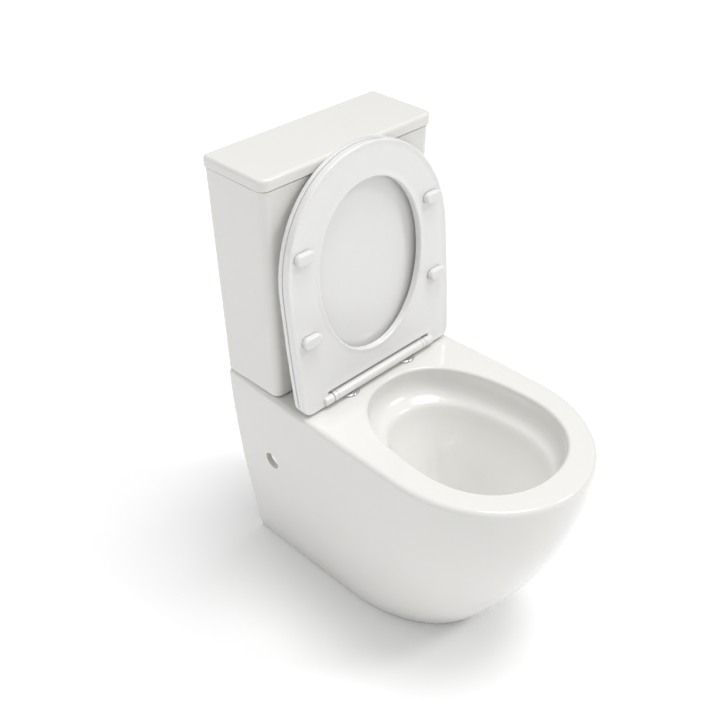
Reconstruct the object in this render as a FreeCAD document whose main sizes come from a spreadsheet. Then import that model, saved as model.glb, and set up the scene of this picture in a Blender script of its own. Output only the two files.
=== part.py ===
import FreeCAD, Part
import Sketcher
import math
import os
import re

# Close coupled toilet, seat and cover raised against the cistern.
# Frame: origin on the floor under the middle of the plan box, +X to the sitter's left seen from
# the front (right in a front view), +Y towards the wall, +Z up. Millimetres.

os.makedirs("parts", exist_ok=True)
doc = FreeCAD.newDocument("close_coupled_toilet")
vec = FreeCAD.Vector
UP, ACROSS, BACK = vec(0, 0, 1), vec(1, 0, 0), vec(0, 1, 0)

# ---------------------------------------------------------------- driving dimensions
driving = [
    # pan, outside
    ("overallDepth", 600.0, "wall face to the front of the pan"),
    ("deckHeight", 400.0, "floor to the top of the pan"),
    ("deckHalf", 177.0, "half width of the deck at its widest"),
    ("deckBackHalf", 165.3, "half width of the deck at the wall"),
    ("deckNoseDepth", 200.0, "depth of the rounded front of the deck"),
    ("footHalf", 121.0, "half width of the foot"),
    ("footDepth", 436.7, "wall face to the front of the foot"),
    ("footNoseDepth", 188.7, "depth of the rounded front of the foot"),
    ("deckRound", 9.0, "rounding of the deck's outer edge"),
    ("panWall", 11.0, "thickness of the skirt"),
    ("deckThick", 14.0, "thickness of the deck"),
    # bowl
    ("bowlHalf", 126.0, "half width of the bowl's opening"),
    ("bowlBack", 214.3, "wall face to the back of the opening"),
    ("rimFront", 53.4, "width of the rim at the front"),
    ("bowlNose", 128.0, "front of the opening back to its widest place"),
    ("bowlWall", 10.0, "thickness of the bowl"),
    ("bowlDepth", 216.0, "deck to the lowest point of the sump"),
    ("bandHeight", 30.0, "height of the upright band under the rim"),
    ("bowlRound", 5.0, "rounding of the opening's edge"),
    # trapway and waste outlet
    ("trapBore", 31.0, "inner radius of the trapway"),
    ("trapWall", 8.0, "thickness of the trapway"),
    ("spigotRadius", 51.0, "outer radius of the waste spigot"),
    ("spigotBore", 43.0, "inner radius of the waste spigot"),
    ("spigotHeight", 180.0, "floor to the middle of the spigot"),
    ("spigotInset", 60.0, "wall face to the end of the spigot"),
    ("spigotLength", 50.0, "length of the spigot"),
    ("sideHoleRadius", 16.0, "radius of the access hole in each side"),
    ("sideHoleHeight", 247.5, "floor to the middle of the access hole"),
    ("sideHoleInset", 95.0, "wall face to the middle of the access hole"),
    # cistern tank
    ("tankTopHalf", 177.75, "half width of the tank at its top"),
    ("tankTaper", 10.75, "how much the tank narrows each side towards its foot"),
    ("tankTopDepth", 133.0, "depth of the tank at its top"),
    ("tankFootDepth", 126.5, "depth of the tank at its foot"),
    ("tankRise", 376.0, "deck to the top of the tank"),
    ("tankGap", 2.0, "joint between the deck and the tank"),
    ("tankWall", 9.0, "thickness of the tank's walls"),
    ("tankFloor", 12.0, "thickness of the tank's floor"),
    ("tankRound", 15.0, "rounding of the tank's front corners"),
    ("tankBackRound", 8.0, "rounding of the upright back corners of tank and lid"),
    ("tankFootRound", 5.0, "rounding of the tank's lower edge"),
    # cistern lid
    ("lidOverhang", 2.85, "how far the lid reaches past the tank each side"),
    ("lidDepth", 136.0, "depth of the cistern lid"),
    ("lidThick", 19.0, "thickness of the cistern lid"),
    ("lidGap", 2.0, "height of the lid's pads"),
    ("lidRound", 16.0, "rounding of the lid's front corners"),
    ("lidEdge", 6.5, "rounding of the lid's upper edge"),
    ("lipDepth", 8.0, "how far the lid's lip reaches into the tank"),
    ("lipPlay", 3.0, "gap between the lip and the tank's wall"),
    # seat, cover and hinge; lengths along the seat are counted from the hinge axis
    ("hingeInset", 194.5, "wall face to the hinge axis"),
    ("hingeHeight", 13.5, "deck to the hinge axis"),
    ("leanAngle", 5.5, "how far the raised seat leans back, degrees"),
    ("barRadius", 9.0, "radius of the hinge bar"),
    ("barHalf", 100.5, "half length of the hinge bar"),
    ("lugGap", 0.4, "side play between bar, cover lugs and seat knuckles"),
    ("lugWidth", 7.7, "width of a cover lug"),
    ("knuckleEnd", 129.0, "middle to the outer end of a seat knuckle"),
    ("notchHalf", 119.0, "half width of the notch in the seat's rear edge"),
    ("notchReach", 15.0, "hinge axis to the inner edge of the notch"),
    ("seatUnder", 3.2, "hinge axis down to the seat's underside, closed"),
    ("seatThick", 13.0, "thickness of the seat"),
    ("seatRearHalf", 171.0, "half width of the seat at its rear edge"),
    ("seatHalf", 176.0, "half width of the seat at its widest"),
    ("seatRear", 9.5, "hinge axis to the seat's rear edge"),
    ("seatNose", 193.0, "front of the seat back to its widest place"),
    ("seatShort", 11.0, "front of the pan to the seat's front, closed"),
    ("seatCorner", 17.0, "rounding of the seat's rear corners"),
    ("seatEdge", 4.0, "rounding of the seat's edges"),
    ("holeRear", 50.0, "hinge axis to the rear of the seat's opening"),
    ("holeShort", 56.0, "front of the seat to its opening"),
    ("holeHalf", 112.0, "half width of the seat's opening"),
    ("coverGap", 1.2, "gap between the seat and the cover"),
    ("coverThick", 10.0, "thickness of the cover over its rim"),
    ("coverShell", 4.0, "thickness of the cover's panel"),
    ("coverRim", 10.0, "width of the cover's rim"),
    ("coverLap", 1.0, "how far the cover reaches past the seat"),
    ("coverRear", 6.5, "hinge axis to the cover's rear edge"),
    ("coverEdge", 5.0, "rounding of the cover's upper edge"),
    ("bufferLength", 36.0, "length of a seat buffer"),
    ("bufferWidth", 19.0, "width of a seat buffer"),
    ("bufferRest", 0.3, "gap between a closed seat's buffer and the deck"),
    ("frontBufferAcross", 140.0, "middle to a front seat buffer"),
    ("frontBufferShort", 132.0, "front of the seat to a front seat buffer"),
    ("rearBufferAcross", 143.0, "middle to a rear seat buffer"),
    ("rearBufferAlong", 123.5, "hinge axis to a rear seat buffer"),
    ("shaftRadius", 2.5, "radius of the damper shafts"),
    ("shaftInKnuckle", 15.5, "how far a damper shaft reaches into its knuckle"),
    ("damperRadius", 5.0, "radius of the damper barrels"),
    ("damperLength", 55.0, "length of the damper barrels"),
    ("postAcross", 67.0, "middle to a hinge post"),
    ("postInset", 187.0, "wall face to the middle of a hinge disc"),
    ("discRadius", 20.0, "radius of a hinge disc"),
    ("discThick", 3.3, "height of a hinge disc"),
    ("gasketThick", 1.0, "thickness of the gasket under a hinge disc"),
    ("studRadius", 4.0, "radius of the hinge studs and coupling bolts"),
    ("runningFit", 0.05, "radial clearance of a turning fit"),
    # cistern fittings
    ("inletInset", 66.0, "wall face to the middle of the cistern fittings"),
    ("shankRadius", 30.0, "radius of the flush valve's shank"),
    ("backnutRadius", 41.0, "radius of the flush valve's backnut"),
    ("sealRadius", 56.0, "outer radius of the tank seal"),
    ("sealRecess", 10.0, "depth of the seal's recess in the deck"),
    ("boltAcross", 70.0, "middle to a coupling bolt"),
    ("washerThick", 3.0, "thickness of the rubber washers"),
    ("flangeThick", 4.0, "thickness of the plastic flanges"),
    ("canisterRadius", 22.0, "radius of the overflow canister"),
    ("overflowHeight", 298.0, "tank floor's foot to the overflow's rim"),
    ("fillAcross", 120.0, "middle to the fill valve"),
    ("tailRadius", 10.3, "radius of the fill valve's threaded tail"),
    ("floatRadius", 34.0, "radius of the float cup"),
    ("floatTravel", 12.0, "travel of the float cup"),
    # flush buttons and their linkage
    ("buttonDrop", 54.0, "top of the tank to the middle of the buttons"),
    ("bezelRadius", 24.0, "radius of the button bezel"),
    ("bezelProud", 2.25, "how far the bezel stands out of the tank's top edge"),
    ("sleeveRadius", 18.0, "radius of the bezel's threaded sleeve"),
    ("buttonTravel", 6.0, "travel of a flush button"),
    ("rodRadius", 3.0, "radius of a push rod"),
    ("rodOffset", 10.0, "button middle to a push rod"),
    ("crankArm", 22.0, "pivot to the push rod"),
    ("crankReach", 28.0, "pivot to the tip of the lifting finger"),
    ("pivotAcross", 48.0, "middle to the crank pivot"),
    ("slack", 0.4, "lost motion between a crank's finger and its tab"),
    ("rodGap", 0.9, "gap between a push rod's end and its crank"),
]
dims = doc.addObject("Spreadsheet::Sheet", "dims")
for row, (alias, value, meaning) in enumerate(driving, start=1):
    dims.set(f"A{row}", meaning)
    dims.set(f"B{row}", str(value))
    dims.setAlias(f"B{row}", alias)
doc.recompute()
aliases = {alias for alias, _, _ in driving}

# sizes that follow from the driving ones, as formulas
derived = {
    "bowlFront": "(overallDepth - rimFront)",
    "bowlMiddle": "(overallDepth - rimFront - bowlNose)",
    "seatFront": "(overallDepth - hingeInset - seatShort)",
    "seatWidest": "(overallDepth - hingeInset - seatShort - seatNose)",
    "holeFront": "(overallDepth - hingeInset - seatShort - holeShort)",
    "frontBufferAlong": "(overallDepth - hingeInset - seatShort - frontBufferShort)",
    "tankTop": "(deckHeight + tankRise)",
    "tankFootHalf": "(tankTopHalf - tankTaper)",
    "lidHalf": "(tankTopHalf + lidOverhang)",
    "bezelFace": "(tankTopHalf + bezelProud)",
    "buttonHeight": "(deckHeight + tankRise - buttonDrop)",
}


def cell(alias):
    if alias not in derived:
        return float(dims.get(alias))
    terms = re.findall(r"([+-]?) ?(\w+)", derived[alias].strip("()"))
    return sum(cell(word) * (-1 if sign == "-" else 1) for sign, word in terms)


def linked(words):
    # a formula in aliases becomes one that reads the sheet
    plain = re.sub(r"[A-Za-z]\w*", lambda m: derived.get(m[0], m[0]), str(words))
    return re.sub(r"[A-Za-z]\w*", lambda m: "dims." + m[0] if m[0] in aliases else m[0], plain)


def bind(thing, **formulas):
    for name, words in formulas.items():
        thing.setExpression(name.replace("_", "."), linked(words))
    return thing


def move(thing, across="0", along="0", height="0"):
    thing.setExpression("Placement.Base.x", linked(across))
    thing.setExpression("Placement.Base.y", linked(along))
    thing.setExpression("Placement.Base.z", linked(height))
    return thing


def fresh(kind, name):
    return doc.addObject(kind, name)


# places used by many sub-parts, as formulas
WALL = "overallDepth / 2"
DECK_UNDER = "(deckHeight - deckThick)"
TANK_FOOT = "(deckHeight + tankGap)"
TANK_INSIDE = "(deckHeight + tankGap + tankFloor)"
FITTINGS = "(overallDepth / 2 - inletInset)"
AXIS_ALONG = "(overallDepth / 2 - hingeInset)"
AXIS_HEIGHT = "(deckHeight + hingeHeight)"
POSTS = "(overallDepth / 2 - postInset)"
STEM_SOCKET = "(barRadius - damperRadius - 0.5)"  # how deep a post stands in the hinge bar
FLANGE_TOP = "(deckHeight + tankGap + tankFloor + washerThick + flangeThick)"

finished = {}


def keep(node, thing):
    thing.Label = node
    finished[node] = thing
    return thing


# ---------------------------------------------------------------- small modelling helpers
def cylinder(name, radius, length, across="0", along="0", height="0", axis=UP):
    solid = bind(fresh("Part::Cylinder", name), Radius=radius, Height=length)
    solid.Placement.Rotation = FreeCAD.Rotation(UP, axis)
    return move(solid, across, along, height)


def block(name, across, along, height):
    # each argument is a (low, high) pair of formulas
    solid = fresh("Part::Box", name)
    bind(solid, Length=f"({across[1]}) - ({across[0]})", Width=f"({along[1]}) - ({along[0]})",
         Height=f"({height[1]}) - ({height[0]})")
    return move(solid, across[0], along[0], height[0])


def joined(name, solids):
    whole = fresh("Part::MultiFuse", name)
    whole.Shapes = solids
    return whole


def without(name, base, tools):
    rest = fresh("Part::Cut", name)
    rest.Base = base
    rest.Tool = tools[0] if len(tools) == 1 else joined(name + "_tools", tools)
    return rest


def group(name, solids):
    whole = fresh("Part::Compound", name)
    whole.Links = solids
    return whole


def plane_of(body, role):
    return next(f for f in body.Origin.OriginFeatures if f.Role == role)


def polygon(body, name, points, role="XZ_Plane", offset=None):
    # a closed outline whose corners are formulas; on XZ_Plane the sketch's y is the frame's z
    sketch = body.newObject("Sketcher::SketchObject", name)
    sketch.AttachmentSupport = [(plane_of(body, role), "")]
    sketch.MapMode = "FlatFace"
    if offset is not None:
        sketch.setExpression("AttachmentOffset.Base.z", linked(offset))
    count = len(points)
    spread = [vec(10 * math.cos(2 * math.pi * i / count), 10 * math.sin(2 * math.pi * i / count), 0)
              for i in range(count)]
    for i in range(count):
        sketch.addGeometry(Part.LineSegment(spread[i], spread[(i + 1) % count]), False)
    for i in range(count):
        sketch.addConstraint(Sketcher.Constraint("Coincident", i, 2, (i + 1) % count, 1))
    for i, (first, second) in enumerate(points):
        for kind, words in (("DistanceX", first), ("DistanceY", second)):
            number = sketch.addConstraint(Sketcher.Constraint(kind, -1, 1, i, 1, 1.0))
            sketch.setExpression(f"Constraints[{number}]", linked(words))
    return sketch


def turned(name, points, across="0", along="0", height="0"):
    # a round piece, from its (radius, height) outline
    body = fresh("PartDesign::Body", name)
    sketch = polygon(body, name + "_outline", points)
    turn = body.newObject("PartDesign::Revolution", name + "_turn")
    turn.Profile = sketch
    turn.ReferenceAxis = (sketch, ["V_Axis"])
    turn.Angle = 360
    body.Tip = turn
    return move(body, across, along, height)


def ring(name, inner, outer, thick, across="0", along="0", height="0"):
    return turned(name, [(inner, 0), (outer, 0), (outer, thick), (inner, thick)],
                  across, along, height)


def wing_nuts(name, places, top, radius, thick, bore):
    # hand nuts: a round hub with two wings along Y, one solid for each place (across, along)
    nuts = []
    for i, (across, along) in enumerate(places):
        hub = cylinder(f"{name}_hub{i}", radius, thick, across, along, f"({top}) - ({thick})")
        wings = block(f"{name}_wing{i}", (f"{across} - 2", f"{across} + 2"),
                      (f"{along} - {radius} - 8", f"{along} + {radius} + 8"),
                      (f"({top}) - ({thick})", f"({top}) - 2"))
        hole = cylinder(f"{name}_hole{i}", bore, f"{thick} + 2", across, along,
                        f"({top}) - ({thick}) - 1")
        nuts.append(without(f"{name}{i}", joined(f"{name}_blank{i}", [hub, wings]), [hole]))
    return group(name, nuts)


# ---------------------------------------------------------------- pan
def bezier(*poles):
    curve = Part.BezierCurve()
    curve.setPoles(list(poles))
    return curve.toShape()


ROUND = 0.5523  # pole distance that makes a Bezier quarter an ellipse; larger is squarer


def quarter(start, corner, end, fullness):
    return bezier(start, start + (corner - start) * fullness, end + (corner - end) * fullness, end)


def skirt_section(height, inset=0.0, behind=0.0):
    # the pan's outline at a height: straight back, sides that spread forward, round front
    rise = min(max(height / cell("deckHeight"), 0.0), 1.0)
    flare = 1 - (1 - rise) ** 1.55  # rear half width
    belly = 1 - (1 - rise) ** 2.34  # widest half width and where it lies
    reach = 1 - (1 - rise) ** 1.9   # front
    wall = cell("overallDepth") / 2
    rear_half = cell("footHalf") + (cell("deckBackHalf") - cell("footHalf")) * flare - inset
    wide_half = cell("footHalf") + (cell("deckHalf") - cell("footHalf")) * belly - inset
    foot_wide = cell("footDepth") - cell("footNoseDepth")
    deck_wide = cell("overallDepth") - cell("deckNoseDepth")
    wide_at = wall - (foot_wide + (deck_wide - foot_wide) * belly)
    front = wall - (cell("footDepth") + (cell("overallDepth") - cell("footDepth")) * reach) + inset
    back = wall + behind
    wide_right, nose = vec(wide_half, wide_at, height), vec(0, front, height)
    wide_left = vec(-wide_half, wide_at, height)
    back_right, back_left = vec(rear_half, back, height), vec(-rear_half, back, height)
    middle = (back + wide_at) / 2
    return Part.Wire([
        Part.makeLine(back_left, back_right),
        bezier(back_right, vec(wide_half, middle, height), wide_right),
        quarter(wide_right, vec(wide_half, front, height), nose, ROUND),
        quarter(nose, vec(-wide_half, front, height), wide_left, ROUND),
        bezier(wide_left, vec(-wide_half, middle, height), back_left),
    ])


def egg(height, half, back, front, middle, back_fullness=0.66, front_fullness=0.60):
    # the bowl's outline at a height; back, front and middle are counted from the wall
    wall = cell("overallDepth") / 2
    right, left = vec(half, wall - middle, height), vec(-half, wall - middle, height)
    rear, nose = vec(0, wall - back, height), vec(0, wall - front, height)
    return Part.Wire([
        quarter(rear, vec(half, rear.y, height), right, back_fullness),
        quarter(right, vec(half, nose.y, height), nose, front_fullness),
        quarter(nose, vec(-half, nose.y, height), left, front_fullness),
        quarter(left, vec(-half, rear.y, height), rear, back_fullness),
    ])


# how the bowl narrows: share of its depth below the band, share left of the half width,
# share of the way from the rear edge and from the front edge to the sump
NARROWING = [(0.000, 0.985, 0.020, 0.010), (0.045, 0.965, 0.055, 0.020),
             (0.080, 0.930, 0.110, 0.035), (0.105, 0.885, 0.180, 0.050),
             (0.125, 0.835, 0.255, 0.070), (0.200, 0.780, 0.330, 0.130),
             (0.380, 0.670, 0.470, 0.310), (0.580, 0.520, 0.630, 0.540),
             (0.780, 0.380, 0.800, 0.780), (0.920, 0.290, 0.930, 0.930),
             (1.000, 0.250, 1.000, 1.000)]


def bowl_form(grow=0.0):
    # the bowl's hollow, or with grow its outer form
    top, band = cell("deckHeight"), cell("bandHeight")
    half, middle = cell("bowlHalf"), cell("bowlMiddle")
    back, front = cell("bowlBack"), cell("bowlFront")
    sump = middle - 50
    sump_back, sump_front = sump - 36, sump + 36
    sections = [egg(top + 1, half + grow, back - grow, front + grow, middle),
                egg(top - band / 2, half * 0.996 + grow, back + 0.6 - grow, front - 0.6 + grow,
                    middle)]
    for depth, width, from_back, from_front in NARROWING:
        height = top - band - (cell("bowlDepth") - band) * depth
        sections.append(egg(
            height - grow * depth, half * width + grow,
            back + (sump_back - back) * from_back - grow,
            front + (sump_front - front) * from_front + grow,
            middle + (sump - middle) * depth,
            0.66 - 0.10 * depth, 0.60 - 0.04 * depth))
    return Part.makeLoft(sections, True, False)


def rounded_path(corners, radii):
    # straight runs joined by tangent arcs
    edges, here = [], corners[0]
    for i in range(1, len(corners) - 1):
        before = (corners[i - 1] - corners[i]).normalize()
        after = (corners[i + 1] - corners[i]).normalize()
        turn = math.pi - before.getAngle(after)
        reach = radii[i - 1] * math.tan(turn / 2)
        start, end = corners[i] + before * reach, corners[i] + after * reach
        inward = (before + after).normalize()
        centre = corners[i] + inward * (radii[i - 1] / math.cos(turn / 2))
        edges += [Part.makeLine(here, start),
                  Part.Arc(start, centre - inward * radii[i - 1], end).toShape()]
        here = end
    edges.append(Part.makeLine(here, corners[-1]))
    return Part.Wire(edges)


def pipe(path, radius, start, direction):
    profile = Part.Wire([Part.makeCircle(radius, start, direction)])
    return path.makePipeShell([profile], True, False)


def trap_form(radius):
    # the trapway, from the sump over its weir to the spigot
    wall = cell("overallDepth") / 2
    sump = cell("bowlMiddle") - 50
    low = cell("deckHeight") - cell("bowlDepth")
    out = cell("spigotHeight")
    corners = [vec(0, wall - sump, low + 40), vec(0, wall - sump, low - 48),
               vec(0, wall - sump + 156, low + 45),
               vec(0, wall - cell("spigotInset") - cell("spigotLength") - 45, out),
               vec(0, wall - cell("spigotInset") - cell("spigotLength") + 5, out)]
    path = rounded_path(corners, [44, 44, 44])
    return pipe(path, radius, corners[0], vec(0, 0, -1))


def shape_box(across, along, height):
    return Part.makeBox(across[1] - across[0], along[1] - along[0], height[1] - height[0],
                        vec(across[0], along[0], height[0]))


def make_pan():
    wall, top = cell("overallDepth") / 2, cell("deckHeight")
    skin, deck_under = cell("panWall"), cell("deckHeight") - cell("deckThick")
    steps = 9
    levels = [top * i / steps for i in range(steps + 1)]
    outside = Part.makeLoft([skirt_section(z) for z in levels], True, False)
    rim = [e for e in outside.Edges
           if min(v.Z for v in e.Vertexes) > top - 1 and min(v.Y for v in e.Vertexes) < wall - 1]
    outside = outside.makeFillet(cell("deckRound"), rim)

    inner_levels = [-5.0] + [deck_under * i / steps for i in range(1, steps + 1)]
    cavity = Part.makeLoft([skirt_section(z, skin, 20.0) for z in inner_levels], True, False)

    # water way: a chamber under the cistern, a passage to the side, a port under the rim
    inlet = wall - cell("inletInset")
    guide = 8.0
    ways = [((-50, 50), (inlet - 42, inlet + 42), (335, 378)),
            ((-150, 50), (inlet - 84, inlet - 42), (345, 378)),
            ((-150, -130), (inlet - 250, inlet - 42), (345, 378)),
            ((-150, -105), (inlet - 250, inlet - 228), (340, 352))]
    drop = top - 400.0
    solid_ways = [shape_box((a[0] - guide, a[1] + guide), (b[0] - guide, b[1] + guide),
                            (z[0] - guide + drop, top)) for a, b, z in ways[:3]]
    open_ways = [shape_box(a, b, (z[0] + drop, z[1] + drop)) for a, b, z in ways]

    filled = bowl_form(cell("bowlWall"))
    trap = trap_form(cell("trapBore") + cell("trapWall"))
    spigot_start = wall - cell("spigotInset") - cell("spigotLength")
    collar = Part.makeCone(cell("trapBore") + cell("trapWall"), cell("spigotRadius"), 20,
                           vec(0, spigot_start - 20, cell("spigotHeight")), BACK)
    spigot = Part.makeCylinder(cell("spigotRadius"), cell("spigotLength"),
                               vec(0, spigot_start, cell("spigotHeight")), BACK)
    body = outside.cut(cavity.cut([filled, trap, collar, spigot] + solid_ways))
    throat = Part.makeCone(cell("trapBore"), cell("spigotBore"), 20,
                           vec(0, spigot_start - 20, cell("spigotHeight")), BACK)
    bore = Part.makeCylinder(cell("spigotBore"), cell("spigotLength") + 1,
                             vec(0, spigot_start, cell("spigotHeight")), BACK)
    body = body.cut([bowl_form(), trap_form(cell("trapBore")), throat, bore] + open_ways)

    # holes through the deck and the sides
    def down(radius, across, inset, low, high):
        return Part.makeCylinder(radius, high - low, vec(across, wall - inset, low), UP)

    floor_of_recess = top - cell("sealRecess")
    holes = [down(cell("sealRadius") + 1, 0, cell("inletInset"), floor_of_recess, top + 5),
             down(cell("shankRadius") + 6, 0, cell("inletInset"), top - 30, top + 5),
             down(cell("tailRadius") + 14, -cell("fillAcross"), cell("inletInset"),
                  deck_under - 5, top + 5)]
    for side in (-1, 1):
        holes.append(down(cell("studRadius") + 2, side * cell("boltAcross"), cell("inletInset"),
                          deck_under - 5, top + 5))
        holes.append(down(cell("studRadius") + 2.5, side * cell("postAcross"),
                          cell("postInset"), deck_under - 5, top + 5))
    holes.append(Part.makeCylinder(cell("sideHoleRadius"), 2 * cell("deckHalf"),
                                   vec(-cell("deckHalf"), wall - cell("sideHoleInset"),
                                       cell("sideHoleHeight")), ACROSS))
    body = body.cut(holes)
    mouth = [e for e in body.Edges if all(abs(v.Z - top) < 0.01 for v in e.Vertexes)
             and cell("bowlHalf") * 0.5 < e.BoundBox.DiagonalLength
             and e.BoundBox.XMax < cell("bowlHalf") + 1 and e.BoundBox.XMin > -cell("bowlHalf") - 1
             and e.BoundBox.YMax < wall - cell("bowlBack") + 1]
    body = body.makeFillet(cell("bowlRound"), mouth)
    pan = fresh("Part::Feature", "pan")
    pan.Shape = body.removeSplitter() if len(body.Solids) != 1 else body.Solids[0]
    return keep("pan", pan)


# ---------------------------------------------------------------- cistern
def tapered_box(name, low, high):
    # a box whose foot and top differ; low and high are (half width, front, back, height);
    # the wedge is drawn lying down, so its Z runs from the wall to the front
    wedge = fresh("Part::Wedge", name + "_blank")
    bind(wedge, Xmin=f"-({low[0]})", Xmax=low[0], X2min=f"-({high[0]})", X2max=high[0],
         Zmin=f"-({low[2]})", Zmax=f"-({low[1]})", Z2min=f"-({high[2]})", Z2max=f"-({high[1]})",
         Ymin=low[3], Ymax=high[3])
    wedge.Placement = FreeCAD.Placement(vec(0, 0, 0), FreeCAD.Rotation(ACROSS, 90))
    return wedge


def on_blank(name, blank):
    # a body that starts from a finished solid and lies where it lies
    body = fresh("PartDesign::Body", name)
    body.BaseFeature = blank
    body.setExpression("Placement", f"{blank.Name}.Placement")
    doc.recompute()
    return body


def rounded(body, name, radius, wanted):
    # fillets the edges of the body's tip that wanted() picks by their middle point
    doc.recompute()
    base = body.Tip
    names = [f"Edge{i}" for i, edge in enumerate(base.Shape.Edges, start=1)
             if wanted(body.Placement.multVec(
                 edge.valueAt((edge.FirstParameter + edge.LastParameter) / 2)))]
    fillet = body.newObject("PartDesign::Fillet", name)
    fillet.Base = (base, names)
    bind(fillet, Radius=radius)
    body.Tip = fillet
    return body


def make_tank():
    front_top, front_foot = f"{WALL} - tankTopDepth", f"{WALL} - tankFootDepth"
    shell = on_blank("tank_outside", tapered_box(
        "tank_shell", ("tankFootHalf", front_foot, WALL, TANK_FOOT),
        ("tankTopHalf", front_top, WALL, "tankTop")))
    middle = (cell("deckHeight") + cell("tankTop")) / 2
    front = cell("overallDepth") / 2 - 60
    rounded(shell, "tank_front_corners", "tankRound",
            lambda p: abs(p.z - middle) < 20 and p.y < front)
    rounded(shell, "tank_back_corners", "tankBackRound",
            lambda p: abs(p.z - middle) < 20 and p.y > front)
    rounded(shell, "tank_foot_edge", "tankFootRound",
            lambda p: p.z < cell("deckHeight") + cell("tankGap") + 0.01)
    hollow = tapered_box(
        "tank_inside",
        ("tankFootHalf - tankWall", f"{front_foot} + tankWall", f"{WALL} - tankWall", TANK_INSIDE),
        ("tankTopHalf - tankWall", f"{front_top} + tankWall", f"{WALL} - tankWall", "tankTop + 5"))
    holes = [cylinder("tank_outlet_hole", "shankRadius + 2", "tankFloor + 10", "0", FITTINGS,
                      f"{TANK_FOOT} - 5"),
             cylinder("tank_inlet_hole", "tailRadius + 1.2", "tankFloor + 10", "-fillAcross",
                      FITTINGS, f"{TANK_FOOT} - 5"),
             cylinder("tank_button_hole", "sleeveRadius + 0.5", "40", "tankTopHalf - 30", FITTINGS,
                      "buttonHeight", ACROSS)]
    for i, side in enumerate(("-", "")):
        holes.append(cylinder(f"tank_bolt_hole{i}", "studRadius + 1.5", "tankFloor + 10",
                              f"{side}boltAcross", FITTINGS, f"{TANK_FOOT} - 5"))
    return keep("cistern_tank", without("tank", shell, [hollow] + holes))


def make_lid():
    foot = "tankTop + lidGap"
    body = on_blank("lid_slab", block("lid_blank", ("-lidHalf", "lidHalf"),
                                      (f"{WALL} - lidDepth", WALL), (foot, f"{foot} + lidThick")))
    low = cell("tankTop") + cell("lidGap")
    middle = low + cell("lidThick") / 2
    front = cell("overallDepth") / 2 - 60
    rounded(body, "lid_front_corners", "lidRound",
            lambda p: abs(p.z - middle) < 2 and p.y < front)
    rounded(body, "lid_back_corners", "tankBackRound",
            lambda p: abs(p.z - middle) < 2 and p.y > front)
    rounded(body, "lid_top_edge", "lidEdge", lambda p: p.z > low + cell("lidThick") - 0.01)
    rounded(body, "lid_foot_edge", "lidEdge / 3", lambda p: p.z < low + 0.01)
    reach = "tankTopHalf - tankWall - lipPlay"
    front, back = f"{WALL} - tankTopDepth + tankWall + lipPlay", f"{WALL} - tankWall - lipPlay"
    lip = block("lid_lip", (f"-({reach})", reach), (front, back),
                ("tankTop - lipDepth", f"{foot} + 1"))
    inside = block("lid_lip_inside", (f"6 - ({reach})", f"{reach} - 6"),
                   (f"{front} + 6", f"{back} - 6"), ("tankTop - lipDepth - 1", f"{foot}"))
    hollow_lip = without("lid_lip_ring", lip, [inside])
    keep("cistern_lid", joined("lid", [body, hollow_lip]))
    pads = []
    for i, (side, along) in enumerate([("-", "15"), ("", "15"), ("-", "lidDepth - 22"),
                                       ("", "lidDepth - 22")]):
        middle_of_wall = "(tankTopHalf - tankWall / 2)"
        pads.append(block(f"lid_pad{i}", (f"{side}{middle_of_wall} - 3", f"{side}{middle_of_wall} + 3"),
                          (f"{WALL} - ({along}) - 8", f"{WALL} - ({along}) + 8"),
                          ("tankTop", foot)))
    keep("lid_pads", group("pads", pads))


# ---------------------------------------------------------------- seat and cover
def hinged(thing):
    # a piece drawn closed, about the hinge axis, is swung up to where it leans
    thing.Placement.Rotation = FreeCAD.Rotation(ACROSS, -(90 + cell("leanAngle")))
    return move(thing, "0", AXIS_ALONG, AXIS_HEIGHT)


def seat_outline(height, grow, rear, corner):
    # closed seat seen from above: straight sides, a long round front, rounded rear corners
    rear_half, half = cell("seatRearHalf") + grow, cell("seatHalf") + grow
    wide, front = -cell("seatWidest"), -cell("seatFront") - grow
    lean = (half - rear_half) * corner / cell("seatWidest")
    points = {name: vec(x, y, height) for name, x, y in (
        ("rear_left", -rear_half + corner, rear), ("rear_right", rear_half - corner, rear),
        ("side_right", rear_half + lean, rear - corner), ("wide_right", half, wide),
        ("nose", 0, front), ("wide_left", -half, wide),
        ("side_left", -rear_half - lean, rear - corner))}
    at = points.get
    return Part.Wire([
        Part.makeLine(at("rear_left"), at("rear_right")),
        quarter(at("rear_right"), vec(rear_half, rear, height), at("side_right"), ROUND),
        bezier(at("side_right"), vec(half, (rear + wide) / 2, height), at("wide_right")),
        quarter(at("wide_right"), vec(half, front, height), at("nose"), 0.57),
        quarter(at("nose"), vec(-half, front, height), at("wide_left"), 0.57),
        bezier(at("wide_left"), vec(-half, (rear + wide) / 2, height), at("side_left")),
        quarter(at("side_left"), vec(-rear_half, rear, height), at("rear_left"), ROUND),
    ])


def slab(wire, thick):
    return Part.Face(wire).extrude(vec(0, 0, thick))


def edges_at(shape, height, inside=None):
    return [e for e in shape.Edges if all(abs(v.Z - height) < 0.001 for v in e.Vertexes)
            and abs(e.BoundBox.ZLength) < 0.01 and (inside is None or inside(e))]


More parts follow.
